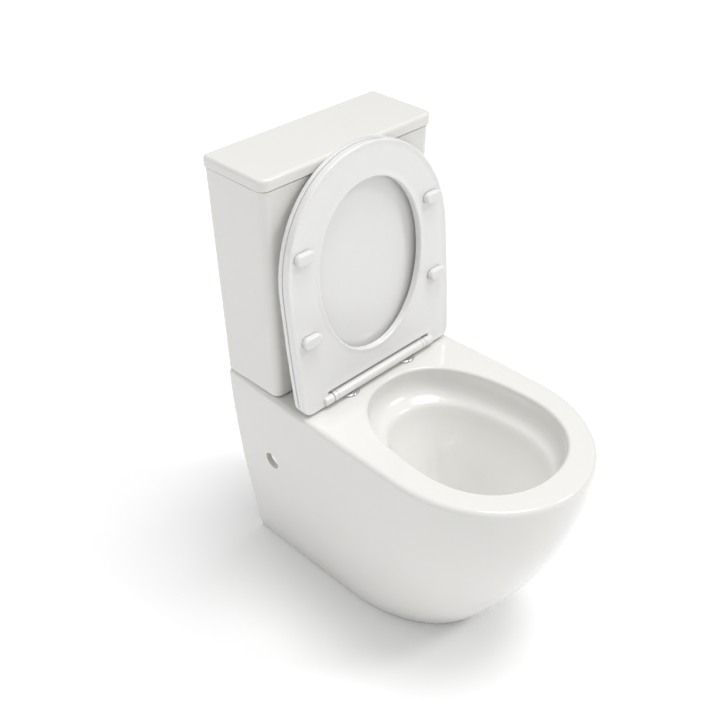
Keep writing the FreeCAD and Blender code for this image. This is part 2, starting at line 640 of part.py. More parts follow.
def make_seat():
    under, thick = -cell("seatUnder"), cell("seatThick")
    top = under + thick
    rear = cell("seatRear")
    edge, rear_round = cell("seatEdge"), 8.0
    plate = slab(seat_outline(under, 0.0, rear, cell("seatCorner")), thick)
    # the rear upper edge is rounded so far that it turns clear of the raised cover
    rear_top = edges_at(plate, top, lambda e: e.BoundBox.YMin > rear - 0.01)
    plate = plate.makeFillet(rear_round, rear_top)
    plate = plate.makeFillet(edge, edges_at(plate, under))
    middle = cell("seatWidest")
    hole = slab(Part.Wire([
        quarter(vec(0, -cell("holeRear"), 0), vec(cell("holeHalf"), -cell("holeRear"), 0),
                vec(cell("holeHalf"), -middle, 0), 0.57),
        quarter(vec(cell("holeHalf"), -middle, 0), vec(cell("holeHalf"), -cell("holeFront"), 0),
                vec(0, -cell("holeFront"), 0), 0.57),
        quarter(vec(0, -cell("holeFront"), 0), vec(-cell("holeHalf"), -cell("holeFront"), 0),
                vec(-cell("holeHalf"), -middle, 0), 0.57),
        quarter(vec(-cell("holeHalf"), -middle, 0), vec(-cell("holeHalf"), -cell("holeRear"), 0),
                vec(0, -cell("holeRear"), 0), 0.57)]), thick + 20)
    hole.translate(vec(0, 0, under - 10))
    plate = plate.cut(hole)
    inner = [e for level in (top, under) for e in edges_at(
        plate, level, lambda e: e.BoundBox.YMax < -cell("holeRear") + 1
        and e.BoundBox.YMin > -cell("holeFront") - 1 and abs(e.BoundBox.XMax) < cell("holeHalf") + 1
        and abs(e.BoundBox.XMin) < cell("holeHalf") + 1)]
    plate = plate.makeFillet(edge, inner)
    notch = shape_box((-cell("notchHalf"), cell("notchHalf")), (-cell("notchReach"), rear + 5),
                      (under - 5, top + 5))
    plate = plate.cut(notch)
    start = cell("barHalf") + 2 * cell("lugGap") + cell("lugWidth")
    length = cell("knuckleEnd") - start
    for side in (-1, 1):
        knuckle = Part.makeCylinder(cell("barRadius"), length, vec(side * start, 0, 0),
                                    ACROSS * side)
        knuckle = knuckle.makeFillet(3.5, [e for e in knuckle.Edges
                                           if abs(abs(e.CenterOfMass.x) - cell("knuckleEnd")) < 0.01
                                           and e.BoundBox.XLength < 0.01])
        plate = plate.fuse(knuckle)
    # the left knuckle is keyed to its damper's shaft, the right one turns on the other shaft
    for side, fit in ((-1, 0.0), (1, cell("runningFit"))):
        plate = plate.cut(Part.makeCylinder(cell("shaftRadius") + fit, cell("shaftInKnuckle") + 1,
                                            vec(side * (start - 0.5), 0, 0), ACROSS * side))
    seat = fresh("Part::Feature", "seat")
    seat.Shape = plate.Solids[0] if len(plate.Solids) == 1 else plate
    hinged(keep("seat_ring", seat))


def make_seat_buffers():
    height = cell("hingeHeight") - cell("seatUnder") - cell("bufferRest")
    length, width = cell("bufferLength"), cell("bufferWidth")
    under = -cell("seatUnder")
    pads = []
    for across, along in (("frontBufferAcross", "frontBufferAlong"),
                          ("rearBufferAcross", "rearBufferAlong")):
        for side in (-1, 1):
            straight = length - width
            middle = vec(side * cell(across), -cell(along), under - height)
            left, right = middle - ACROSS * straight / 2, middle + ACROSS * straight / 2
            half = BACK * width / 2
            rim = Part.Wire([
                Part.makeLine(left - half, right - half),
                Part.Arc(right - half, right + ACROSS * width / 2, right + half).toShape(),
                Part.makeLine(right + half, left + half),
                Part.Arc(left + half, left - ACROSS * width / 2, left - half).toShape()])
            pad = slab(rim, height)
            pads.append(pad.makeFillet(3.0, edges_at(pad, under - height)))
    buffers = fresh("Part::Feature", "buffers")
    buffers.Shape = Part.makeCompound(pads)
    hinged(keep("seat_buffers", buffers))


def make_cover():
    low = -cell("seatUnder") + cell("seatThick") + cell("coverGap")
    thick, lap, rear = cell("coverThick"), cell("coverLap"), cell("coverRear")
    top = low + thick
    panel = slab(seat_outline(low, lap, rear, cell("seatCorner")), thick)
    panel = panel.makeFillet(cell("coverEdge"), edges_at(panel, top))
    panel = panel.makeFillet(1.2, edges_at(panel, low))
    rim = cell("coverRim")
    inside = slab(seat_outline(low - 5, lap - rim, -cell("notchReach") - 6, cell("seatCorner")),
                  thick + 5 - cell("coverShell"))
    panel = panel.cut(inside)
    start = cell("barHalf") + cell("lugGap")
    for side in (-1, 1):
        lug = Part.makeCylinder(cell("barRadius"), cell("lugWidth"), vec(side * start, 0, 0),
                                ACROSS * side)
        across = sorted((side * start, side * (start + cell("lugWidth"))))
        arm = shape_box(across, (-cell("barRadius"), cell("coverRear")), (0, low + 2))
        panel = panel.fuse([lug, arm])
        fit = cell("runningFit") if side < 0 else 0.0
        panel = panel.cut(Part.makeCylinder(cell("shaftRadius") + fit, cell("lugWidth") + 1,
                                            vec(side * (start - 0.5), 0, 0), ACROSS * side))
    pads, bores = [], []
    for across, along in ((60, 372), (155, 110)):
        for side in (-1, 1):
            place = vec(side * across, -along, low - cell("coverGap") + 0.2)
            pads.append(Part.makeCylinder(4.0, cell("coverGap") + 1.3, place, UP))
            bores.append(Part.makeCylinder(4.0, cell("coverGap") + 1.3, place, UP))
    panel = panel.cut(bores)
    cover = fresh("Part::Feature", "cover")
    cover.Shape = panel.Solids[0] if len(panel.Solids) == 1 else panel
    hinged(keep("seat_cover", cover))
    buffers = fresh("Part::Feature", "cover_pads")
    buffers.Shape = Part.makeCompound(pads)
    hinged(keep("cover_buffers", buffers))


def make_hinge():
    bar = cylinder("bar_rod", "barRadius", "2 * barHalf", "-barHalf", AXIS_ALONG, AXIS_HEIGHT, ACROSS)
    sockets = []
    for i, side in enumerate(("-", "")):
        at = f"{side}barHalf" if side == "-" else "barHalf - damperLength"
        sockets.append(cylinder(f"bar_socket{i}", "damperRadius", "damperLength", at, AXIS_ALONG,
                                AXIS_HEIGHT, ACROSS))
        sockets.append(cylinder(f"bar_seat{i}", "studRadius + 1", STEM_SOCKET, f"{side}postAcross",
                                f"{POSTS} - 6", f"{AXIS_HEIGHT} - barRadius"))
        start = "-barHalf" if side == "-" else "barHalf - damperLength"
        barrel = cylinder(f"damper_blank{i}", "damperRadius", "damperLength", start, AXIS_ALONG,
                          AXIS_HEIGHT, ACROSS)
        inner = "-barHalf" if side == "-" else "barHalf - damperLength + 5"
        bore = cylinder(f"damper_bore{i}", "shaftRadius + runningFit", "damperLength - 5", inner,
                        AXIS_ALONG, AXIS_HEIGHT, ACROSS)
        node = "seat_damper_barrel" if side == "-" else "cover_damper_barrel"
        keep(node, without(f"damper{i}", barrel, [bore]))
        reach = "barHalf + 2 * lugGap + lugWidth + shaftInKnuckle"
        shaft_from = f"-({reach})" if side == "-" else "barHalf - damperLength + 6"
        node = "seat_damper_shaft" if side == "-" else "cover_damper_shaft"
        keep(node, cylinder(f"shaft{i}", "shaftRadius", f"({reach}) - barHalf + damperLength - 6",
                            shaft_from, AXIS_ALONG, AXIS_HEIGHT, ACROSS))
    keep("hinge_bar", without("bar", bar, sockets))

    discs, gaskets, studs, bushes = [], [], [], []
    under = f"{DECK_UNDER} - 6"
    for i, side in enumerate(("-", "")):
        across = f"{side}postAcross"
        dome = turned(f"disc{i}", [("0", "0"), ("discRadius", "0"), ("discRadius", "discThick - 2.2"),
                                   ("discRadius - 2.5", "discThick"), ("0", "discThick")],
                      across, POSTS, "deckHeight + gasketThick")
        stem = cylinder(f"stem{i}", "studRadius + 1",
                        f"hingeHeight - barRadius + {STEM_SOCKET} - gasketThick",
                        across, f"{POSTS} - 6", "deckHeight + gasketThick")
        socket = cylinder(f"stem_socket{i}", "studRadius", "2", across, POSTS,
                          "deckHeight + gasketThick")
        discs.append(without(f"post{i}", joined(f"post_blank{i}", [dome, stem]), [socket]))
        gaskets.append(ring(f"disc_gasket{i}", "studRadius", "discRadius - 1", "gasketThick",
                            across, POSTS, "deckHeight"))
        studs.append(cylinder(f"stud{i}", "studRadius", "deckThick + 24 + gasketThick + 2", across,
                              POSTS, f"{DECK_UNDER} - 24"))
        bushes.append(turned(f"bush{i}", [("studRadius", "0"), ("studRadius + 7", "0"),
                                          ("studRadius + 7", "6"), ("studRadius + 2.5", "6"),
                                          ("studRadius + 2.5", "6 + deckThick"),
                                          ("studRadius", "6 + deckThick")], across, POSTS, under))
    keep("hinge_posts", group("posts", discs))
    keep("hinge_gaskets", group("disc_gaskets", gaskets))
    keep("hinge_studs", group("studs", studs))
    keep("hinge_bushes", group("bushes", bushes))
    keep("hinge_wing_nuts", wing_nuts("hinge_nuts", [("-postAcross", POSTS), ("postAcross", POSTS)],
                                      under, "9", "10", "studRadius"))


# ---------------------------------------------------------------- joint of tank and pan
def make_coupling():
    keep("tank_seal", ring("doughnut", "backnutRadius + 1", "sealRadius", "sealRecess + tankGap",
                           "0", FITTINGS, "deckHeight - sealRecess"))
    bolts, rubbers, plates = [], [], []
    for i, side in enumerate(("-", "")):
        across = f"{side}boltAcross"
        shank = "tankFloor + tankGap + deckThick + washerThick + 28"
        bolts.append(turned(f"bolt{i}", [("0", "0"), ("studRadius", "0"), ("studRadius", shank),
                                         ("studRadius + 5", shank), ("studRadius + 5", f"{shank} + 3"),
                                         ("studRadius + 3", f"{shank} + 5"), ("0", f"{shank} + 5")],
                            across, FITTINGS, f"{DECK_UNDER} - 28"))
        rubbers.append(ring(f"bolt_rubber{i}", "studRadius", "studRadius + 8", "washerThick",
                            across, FITTINGS, TANK_INSIDE))
        plates.append(ring(f"bolt_plate{i}", "studRadius", "studRadius + 8", "2.5", across,
                           FITTINGS, f"{DECK_UNDER} - 2.5"))
    keep("coupling_bolts", group("bolts", bolts))
    keep("coupling_rubber_washers", group("bolt_rubbers", rubbers))
    keep("coupling_plate_washers", group("bolt_plates", plates))
    keep("coupling_wing_nuts", wing_nuts(
        "coupling_nuts", [("-boltAcross", FITTINGS), ("boltAcross", FITTINGS)],
        f"{DECK_UNDER} - 2.5", "10", "12", "studRadius"))


# ---------------------------------------------------------------- flush valve
def make_flush_valve():
    flange = "shankRadius + 10"
    keep("flush_valve_washer", ring("valve_washer", "shankRadius", flange, "washerThick",
                                    "0", FITTINGS, TANK_INSIDE))
    keep("flush_valve_backnut", ring("valve_backnut", "shankRadius", "backnutRadius", "10",
                                     "0", FITTINGS, f"{TANK_FOOT} - 10"))
    inner = "shankRadius - 4"
    low = "-(washerThick + tankFloor + tankGap + 16)"
    base = turned("valve_base", [(inner, low), ("shankRadius", low), ("shankRadius", "0"),
                                 (flange, "0"), (flange, "flangeThick"),
                                 ("shankRadius", "flangeThick"), ("shankRadius", "flangeThick + 5"),
                                 (inner, "flangeThick + 5")],
                  "0", FITTINGS, f"{TANK_INSIDE} + washerThick")
    posts = []
    cage_top = f"{TANK_INSIDE} + 142"
    for i, (x, y) in enumerate(((1, 1), (-1, 1), (-1, -1), (1, -1))):
        dx, dy = f"{x * 26}", f"{FITTINGS} + {y * 26}" if y > 0 else f"{FITTINGS} - 26"
        posts.append(block(f"cage_post{i}", (f"{dx} - 3", f"{dx} + 3"), (f"{dy} - 3", f"{dy} + 3"),
                           (f"{FLANGE_TOP} - 1", f"{cage_top} + 1")))
    crown = ring("cage_crown", "shankRadius + 3.5", "shankRadius + 12", "6", "0", FITTINGS, cage_top)
    tongue = block("cage_tongue", ("shankRadius + 8", "pivotAcross + 8"),
                   (f"{FITTINGS} - 6", f"{FITTINGS} + 6"), (cage_top, f"{cage_top} + 6"))
    keep("flush_valve_base", joined("valve_cage", [base] + posts + [crown, tongue]))

    rim = f"{TANK_FOOT} + overflowHeight"
    seat_lip = f"{FLANGE_TOP} + 5"
    tube_low = f"{seat_lip} + 0.3"
    tube = turned("canister_tube", [("canisterRadius - 3", tube_low), ("canisterRadius", tube_low),
                                    ("canisterRadius", rim), ("canisterRadius - 3", rim)],
                  "0", FITTINGS)
    collar = ring("canister_collar", "canisterRadius - 1", "shankRadius + 1", "4", "0", FITTINGS,
                  f"{tube_low} + 3")
    bridge = block("canister_bridge", ("-canisterRadius + 1", "canisterRadius - 1"),
                   (f"{FITTINGS} - 2.5", f"{FITTINGS} + 2.5"), (f"{rim} - 10", rim))
    tab_low = f"{PIVOT_HEIGHT} + 0.9 + slack"
    rod = cylinder("canister_rod", "5", f"({tab_low}) - ({rim}) + 5", "0", FITTINGS, f"{rim} - 5")
    tab = block("canister_tab", ("-5", "30"), (f"{FITTINGS} - rodOffset - 6", FITTINGS),
                (tab_low, f"{tab_low} + 3.7"))
    keep("flush_canister", joined("canister", [tube, collar, bridge, rod, tab]))
    keep("flush_seal", ring("canister_seal", "canisterRadius", "shankRadius + 1", "3", "0",
                            FITTINGS, tube_low))

    sleeve_low = f"{TANK_INSIDE} + 186"
    sleeve = ring("half_sleeve", "canisterRadius + 0.6", "canisterRadius + 11", "40", "0",
                  FITTINGS, sleeve_low)
    strut = block("half_strut", ("-5", "5"), (f"{FITTINGS} + canisterRadius", f"{FITTINGS} + canisterRadius + 6"),
                  (f"{sleeve_low} + 39", f"{tab_low} + 3.7"))
    strut = without("half_strut_clear", strut, [cylinder("half_strut_bore", "canisterRadius + 0.6", "400", "0",
                                                         FITTINGS, sleeve_low)])
    half_tab = block("half_tab", ("-5", "30"), (f"{FITTINGS} + 6.5", f"{FITTINGS} + canisterRadius + 6"),
                     (tab_low, f"{tab_low} + 3.7"))
    keep("half_flush_float", joined("half_float", [sleeve, strut, half_tab]))


PIVOT_HEIGHT = "(buttonHeight + crankArm)"


def make_linkage():
    cage_top = f"{TANK_INSIDE} + 148"
    base_low = "buttonHeight - 22"
    out = "rodOffset + 8.5"
    column = block("bracket_column", ("pivotAcross - 4", "pivotAcross + 4"),
                   (f"{FITTINGS} - 4", f"{FITTINGS} + 4"), (cage_top, base_low))
    foot = block("bracket_foot", ("pivotAcross - 8", "pivotAcross + 8"),
                 (f"{FITTINGS} - {out} - 3", f"{FITTINGS} + {out} + 3"), (base_low, f"{base_low} + 4"))
    cheeks = [block("bracket_cheek0", ("pivotAcross - 5", "pivotAcross + 5"),
                    (f"{FITTINGS} - {out} - 3", f"{FITTINGS} - {out}"),
                    (base_low, f"{PIVOT_HEIGHT} + 6")),
              block("bracket_cheek1", ("pivotAcross - 5", "pivotAcross + 5"),
                    (f"{FITTINGS} + {out}", f"{FITTINGS} + {out} + 3"),
                    (base_low, f"{PIVOT_HEIGHT} + 6"))]
    bore = cylinder("bracket_bore", "2.5", f"2 * ({out}) + 12", "pivotAcross",
                    f"{FITTINGS} - {out} - 6", PIVOT_HEIGHT, BACK)
    keep("crank_bracket", without("bracket", joined("bracket_blank", [column, foot] + cheeks), [bore]))
    keep("crank_pin", cylinder("pin", "2.5", f"2 * ({out}) + 8", "pivotAcross",
                               f"{FITTINGS} - {out} - 4", PIVOT_HEIGHT, BACK))
    for node, side in (("full_flush_crank", "-"), ("half_flush_crank", "+")):
        along = f"{FITTINGS} {side} rodOffset"
        boss = cylinder(f"{node}_boss", "5", "5", "pivotAcross", f"{along} - 2.5", PIVOT_HEIGHT, BACK)
        arm = block(f"{node}_arm", ("pivotAcross - 2.5", "pivotAcross + 2.5"),
                    (f"{along} - 2.5", f"{along} + 2.5"),
                    ("buttonHeight - rodRadius - 2", PIVOT_HEIGHT))
        finger = block(f"{node}_finger", ("pivotAcross - crankReach", "pivotAcross"),
                       (f"{along} - 2.5", f"{along} + 2.5"),
                       (f"{PIVOT_HEIGHT} - 3.5", f"{PIVOT_HEIGHT} + 0.9"))
        hole = cylinder(f"{node}_hole", "2.5 + runningFit", "9", "pivotAcross", f"{along} - 4.5",
                        PIVOT_HEIGHT, BACK)
        keep(node, without(f"{node}_cut", joined(f"{node}_blank", [boss, arm, finger]), [hole]))


def make_buttons():
    seat = "bezelFace - 2.6"
    web = "tankTopHalf - 27"
    bore = "sleeveRadius - 2.5"
    flange = cylinder("bezel_flange", "bezelRadius", "2.6", seat, FITTINGS, "buttonHeight", ACROSS)
    sleeve = cylinder("bezel_sleeve", "sleeveRadius", f"{seat} - ({web}) + 1", web, FITTINGS,
                      "buttonHeight", ACROSS)
    hollow = cylinder("bezel_hollow", bore, f"bezelFace - ({web}) - 2 + 1", f"{web} + 2", FITTINGS,
                      "buttonHeight", ACROSS)
    guides = [cylinder(f"bezel_guide{i}", "rodRadius + 0.2", "6", f"{web} - 2",
                       f"{FITTINGS} {side} rodOffset", "buttonHeight", ACROSS)
              for i, side in enumerate(("-", "+"))]
    keep("button_bezel", without("bezel", joined("bezel_blank", [flange, sleeve]), [hollow] + guides))
    washer = cylinder("bezel_washer_disc", "bezelRadius - 2", "5", f"{seat} - 5", FITTINGS,
                      "buttonHeight", ACROSS)
    clear = cylinder("bezel_washer_hole", "sleeveRadius", "7", f"{seat} - 6", FITTINGS,
                     "buttonHeight", ACROSS)
    keep("bezel_washer", without("bezel_washer_cut", washer, [clear, finished["cistern_tank"]]))
    nut_blank = cylinder("bezel_nut_blank", "bezelRadius", "9", f"{web} + 8", FITTINGS,
                         "buttonHeight", ACROSS)
    nut_hole = cylinder("bezel_nut_hole", "sleeveRadius", "11", f"{web} + 7", FITTINGS,
                        "buttonHeight", ACROSS)
    keep("bezel_backnut", without("bezel_nut", nut_blank, [nut_hole, finished["cistern_tank"]]))
    face = "bezelFace - 0.5"
    back = f"{face} - 13"
    for node, side, low, high in (
            ("full", "-", f"{FITTINGS} - sleeveRadius", f"{FITTINGS} + 1.7"),
            ("half", "+", f"{FITTINGS} + 2.3", f"{FITTINGS} + sleeveRadius")):
        along = f"{FITTINGS} {side} rodOffset"
        disc = cylinder(f"{node}_disc", f"{bore} - 0.3", "13", back, FITTINGS, "buttonHeight", ACROSS)
        part = block(f"{node}_side", (f"{back} - 1", f"{face} + 1"), (low, high),
                     ("buttonHeight - sleeveRadius", "buttonHeight + sleeveRadius"))
        both = fresh("Part::MultiCommon", f"{node}_cap")
        both.Shapes = [disc, part]
        keep(f"{node}_flush_button", both)
        tip = "pivotAcross + 2.5 + rodGap"
        keep(f"{node}_flush_rod", cylinder(f"{node}_rod", "rodRadius", f"{back} - ({tip})", tip,
                                           along, "buttonHeight", ACROSS))
        make_spring(f"{node}_flush_spring", cell("tankTopHalf") - 25 + 0.6,
                    cell("bezelFace") - 13.5 - 0.6,
                    cell("overallDepth") / 2 - cell("inletInset")
                    + cell("rodOffset") * (-1 if side == "-" else 1), cell("buttonHeight"))


def make_spring(node, low, high, along, height):
    wire, turns, radius = 0.5, 5, cell("rodRadius") + 1.2
    helix = Part.makeHelix((high - low) / turns, high - low, radius)
    profile = Part.Wire([Part.makeCircle(wire, vec(radius, 0, 0), BACK)])
    coil = Part.Wire(helix).makePipeShell([profile], True, True)
    coil.rotate(vec(0, 0, 0), BACK, 90)
    spring = fresh("Part::Feature", node)
    spring.Shape = coil
    spring.Placement = FreeCAD.Placement(vec(low, along, height), coil.Placement.Rotation)
    return keep(node, spring)


# ---------------------------------------------------------------- fill valve
def make_fill_valve():
    across = "-fillAcross"
    top = f"{TANK_INSIDE} + 286"
    keep("fill_valve_washer", ring("fill_washer", "tailRadius", "tailRadius + 8", "washerThick",
                                   across, FITTINGS, TANK_INSIDE))
    keep("fill_valve_backnut", ring("fill_backnut", "tailRadius", "tailRadius + 9", "10", across,
                                    FITTINGS, f"{TANK_FOOT} - 10"))
    base = f"{TANK_INSIDE} + washerThick"
    tail = "-(washerThick + tankFloor + tankGap + deckThick + 32)"
    stem = "13"
    keep("fill_valve_body", turned(
        "fill_body", [("6", tail), ("tailRadius", tail), ("tailRadius", "0"),
                      ("tailRadius + 8", "0"), ("tailRadius + 8", "flangeThick"),
                      (stem, "flangeThick"), (stem, "286 - washerThick"), ("6", "286 - washerThick")],
        across, FITTINGS, base))
    cap = cylinder("fill_cap_drum", "18", "14", across, FITTINGS, top)
    pin_across, pin_height = f"{across} + 8", f"{top} + 22"
    cheeks = [block(f"fill_cheek{i}", (f"{pin_across} - 4", f"{pin_across} + 4"),
                    (f"{FITTINGS} + {y}", f"{FITTINGS} + {y} + 3"), (f"{top} + 13", f"{pin_height} + 5"))
              for i, y in enumerate(("6.2", "-9.2"))]
    nozzle = cylinder("fill_nozzle", "2.4", "12", f"{across} + 16", FITTINGS, f"{top} + 7", ACROSS)
    pin_bore = cylinder("fill_pin_bore", "2", "24", pin_across, f"{FITTINGS} - 12", pin_height, BACK)
    keep("fill_valve_cap", without("fill_cap", joined("fill_cap_blank", [cap, nozzle] + cheeks),
                                   [pin_bore]))
    keep("float_lever_pin", cylinder("fill_pin", "2", "20", pin_across, f"{FITTINGS} - 10",
                                     pin_height, BACK))
    link_across = f"{across} - 26"
    boss = cylinder("lever_boss", "5", "11.6", pin_across, f"{FITTINGS} - 5.8", pin_height, BACK)
    beam = block("lever_beam", (f"{link_across} - 3", pin_across), (f"{FITTINGS} - 5", f"{FITTINGS} + 5"),
                 (f"{pin_height} - 3", f"{pin_height} + 3"))
    hole = cylinder("lever_hole", "2 + runningFit", "14", pin_across, f"{FITTINGS} - 7", pin_height,
                    BACK)
    keep("float_lever", without("lever", joined("lever_blank", [boss, beam]), [hole]))
    float_low = f"{TANK_INSIDE} + 186"
    cup = turned("cup", [("13.6", "0"), ("floatRadius", "0"), ("floatRadius", "52"),
                         ("floatRadius - 2.5", "52"), ("floatRadius - 2.5", "3"), ("16.5", "3"),
                         ("16.5", "52"), ("13.6", "52")], across, FITTINGS, float_low)
    shelf = block("cup_shelf", (f"{link_across} - 4", f"{link_across} + 12"),
                  (f"{FITTINGS} - 4", f"{FITTINGS} + 4"), (f"{float_low} + 46", f"{float_low} + 52"))
    shelf_clear = cylinder("cup_shelf_bore", "13.6", "70", across, FITTINGS, float_low)
    keep("float_cup", joined("float", [cup, without("cup_shelf_cut", shelf, [shelf_clear])]))
    keep("float_link", cylinder("link", "2.5", f"({pin_height}) - 3.6 - ({float_low}) - 52",
                                link_across, FITTINGS, f"{float_low} + 52"))


def make_refill_tube():
    along = cell("overallDepth") / 2 - cell("inletInset")
    level = cell("deckHeight") + cell("tankGap") + cell("tankFloor") + 286 + 7
    start = -cell("fillAcross") + 19
    rim = cell("deckHeight") + cell("tankGap") + cell("overflowHeight") + 11
    corners = [vec(start, along, level), vec(start + 26, along, level),
               vec(start + 44, along, level + 22), vec(-30, along, level + 22),
               vec(-12, along, level + 15), vec(-12, along, rim)]
    path = rounded_path(corners, [12, 12, 12, 8])
    outer = pipe(path, 3.6, corners[0], ACROSS)
    inner = pipe(path, 2.4, corners[0], ACROSS)
    tube = fresh("Part::Feature", "tube")
    tube.Shape = outer.cut(inner).Solids[0]
    keep("refill_tube", tube)


# ---------------------------------------------------------------- build, check, write
make_pan()
make_tank()
make_lid()
make_seat()
make_seat_buffers()
make_cover()
make_hinge()
make_coupling()
make_flush_valve()
make_linkage()
make_buttons()
make_fill_valve()
make_refill_tube()
doc.recompute()

faults = [f"{thing.Label}: {thing.State}" for thing in doc.Objects
          if "Invalid" in thing.State or "Error" in thing.State]
for node, thing in finished.items():
    shape = thing.Shape
    if shape.isNull() or not shape.isValid() or not shape.Solids:
        faults.append(f"{node}: no valid solid")
if faults:
    raise RuntimeError("; ".join(faults))
for node, thing in finished.items():
    thing.Shape.exportStep(f"parts/{node}.step")
    print(node, len(thing.Shape.Solids), round(thing.Shape.Volume / 1000, 1), "cm3")
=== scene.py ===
import bmesh
import bpy
import math
import numpy as np
from mathutils import Matrix, Vector, geometry, kdtree


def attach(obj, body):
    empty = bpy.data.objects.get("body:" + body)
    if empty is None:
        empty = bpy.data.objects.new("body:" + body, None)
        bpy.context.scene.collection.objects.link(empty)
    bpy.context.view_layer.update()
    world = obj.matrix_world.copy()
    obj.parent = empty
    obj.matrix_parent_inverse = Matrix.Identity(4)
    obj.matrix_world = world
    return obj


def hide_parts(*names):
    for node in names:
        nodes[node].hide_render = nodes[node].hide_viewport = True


mm = 0.001

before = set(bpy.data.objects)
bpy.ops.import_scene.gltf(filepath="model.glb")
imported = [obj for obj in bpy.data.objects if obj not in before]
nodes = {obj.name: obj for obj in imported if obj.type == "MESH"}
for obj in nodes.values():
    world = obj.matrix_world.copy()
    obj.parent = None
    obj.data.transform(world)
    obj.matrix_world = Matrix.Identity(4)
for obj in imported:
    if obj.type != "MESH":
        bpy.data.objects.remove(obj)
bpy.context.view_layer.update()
print("frame loaded:", len(nodes), "nodes")


def toLinear(hexColour):
    value = hexColour.lstrip("#")
    parts = [int(value[i:i + 2], 16) / 255 for i in (0, 2, 4)]
    return [p / 12.92 if p <= 0.04045 else ((p + 0.055) / 1.055) ** 2.4 for p in parts] + [1.0]


def addNode(tree, kind, values=None, links=None, **settings):
    node = tree.nodes.new(kind)
    for key, value in settings.items():
        setattr(node, key, value)
    for key, value in (values or {}).items():
        node.inputs[key].default_value = value
    for key, source in (links or {}).items():
        tree.links.new(source, node.inputs[key])
    return node


def perMetre(size):
    return 1 / (size * mm)  # texture scale for a feature of that many millimetres


def startMaterial(name):
    material = bpy.data.materials.new(name)
    material.use_nodes = True
    tree = material.node_tree
    tree.nodes.clear()
    place = addNode(tree, "ShaderNodeTexCoord").outputs["Object"]
    return material, tree, place


def finishMaterial(material, tree, shader):
    addNode(tree, "ShaderNodeOutputMaterial", links={"Surface": shader.outputs["BSDF"]})
    return material


def clouded(tree, place, size, low, high):
    # a slow cloud of two close tones; its pattern also varies the gloss
    cloud = addNode(tree, "ShaderNodeTexNoise", {"Scale": perMetre(size), "Detail": 3.0},
                    {"Vector": place}).outputs["Fac"]
    tone = addNode(tree, "ShaderNodeMix", {6: toLinear(low), 7: toLinear(high)}, {0: cloud},
                   data_type="RGBA")  # 0 is the factor, 6 and 7 the colours, output 2 their mix
    return cloud, tone.outputs[2]


china = {
    "thin": "#E8E7E4",       # glaze over the body where it runs thin
    "full": "#EAE9E6",       # glaze at full thickness
    "roughness": (0.15, 0.21),  # follows the cloud
    "ior": 1.5, "coat": 0.3, "coatRoughness": 0.12,
    "cloud": 70.0,           # mm, slow change of glaze thickness
    "ripple": 9.0,           # mm, orange peel of the fired glaze
    "rippleDepth": 0.018, "rippleStrength": 0.6,
    "pinhole": 1.6,          # mm, pin holes in the glaze, drawn coarse
    "pinholeDepth": 0.004, "pinholeStrength": 0.4,
}


def glazedVitreousChina():
    # sprayed and fired glaze: a wet, deep gloss that is very slightly uneven
    material, tree, place = startMaterial("glazedVitreousChina")
    cloud, tone = clouded(tree, place, china["cloud"], china["thin"], china["full"])
    ripple = addNode(tree, "ShaderNodeTexNoise",
                     {"Scale": perMetre(china["ripple"]), "Detail": 2.0}, {"Vector": place})
    speck = addNode(tree, "ShaderNodeTexNoise",
                    {"Scale": perMetre(china["pinhole"]), "Detail": 1.0}, {"Vector": place})
    rough = addNode(tree, "ShaderNodeMapRange",
                    {"To Min": china["roughness"][0], "To Max": china["roughness"][1]},
                    {"Value": cloud})
    wave = addNode(tree, "ShaderNodeBump",
                   {"Distance": china["rippleDepth"] * mm, "Strength": china["rippleStrength"]},
                   {"Height": ripple.outputs["Fac"]})
    pin = addNode(tree, "ShaderNodeBump",
                  {"Distance": china["pinholeDepth"] * mm, "Strength": china["pinholeStrength"]},
                  {"Height": speck.outputs["Fac"], "Normal": wave.outputs["Normal"]})
    shader = addNode(tree, "ShaderNodeBsdfPrincipled",
                     {"IOR": china["ior"], "Coat IOR": china["ior"], "Coat Weight": china["coat"],
                      "Coat Roughness": china["coatRoughness"]},
                     {"Base Color": tone, "Roughness": rough.outputs["Result"],
                      "Normal": pin.outputs["Normal"]})
    return finishMaterial(material, tree, shader)


moulding = {
    "ior": 1.5, "coatRoughness": 0.06, "grainStrength": 0.5,
    "smoother": 0.03, "rougher": 0.05,  # how far the gloss drifts with the cloud
}


def mouldedPlastic(name, low, high, roughness, grain, depth, coat=0.0, mottle=25.0):
    # moulded resin: the tool's fine texture under an even sheen
    material, tree, place = startMaterial(name)
    slow, tone = clouded(tree, place, mottle, low, high)
    fine = addNode(tree, "ShaderNodeTexNoise", {"Scale": perMetre(grain), "Detail": 3.0},
                   {"Vector": place})
    rough = addNode(tree, "ShaderNodeMapRange",
                    {"To Min": roughness - moulding["smoother"],
                     "To Max": roughness + moulding["rougher"]}, {"Value": slow})
    bump = addNode(tree, "ShaderNodeBump",
                   {"Distance": depth * mm, "Strength": moulding["grainStrength"]},
                   {"Height": fine.outputs["Fac"]})
    shader = addNode(tree, "ShaderNodeBsdfPrincipled",
                     {"IOR": moulding["ior"], "Coat Weight": coat,
                      "Coat Roughness": moulding["coatRoughness"]},
                     {"Base Color": tone, "Roughness": rough.outputs["Result"],
                      "Normal": bump.outputs["Normal"]})
    return finishMaterial(material, tree, shader)


polishing = {"haze": 12.0, "hazeRougher": 0.08, "markStrength": 0.5}  # haze size in mm


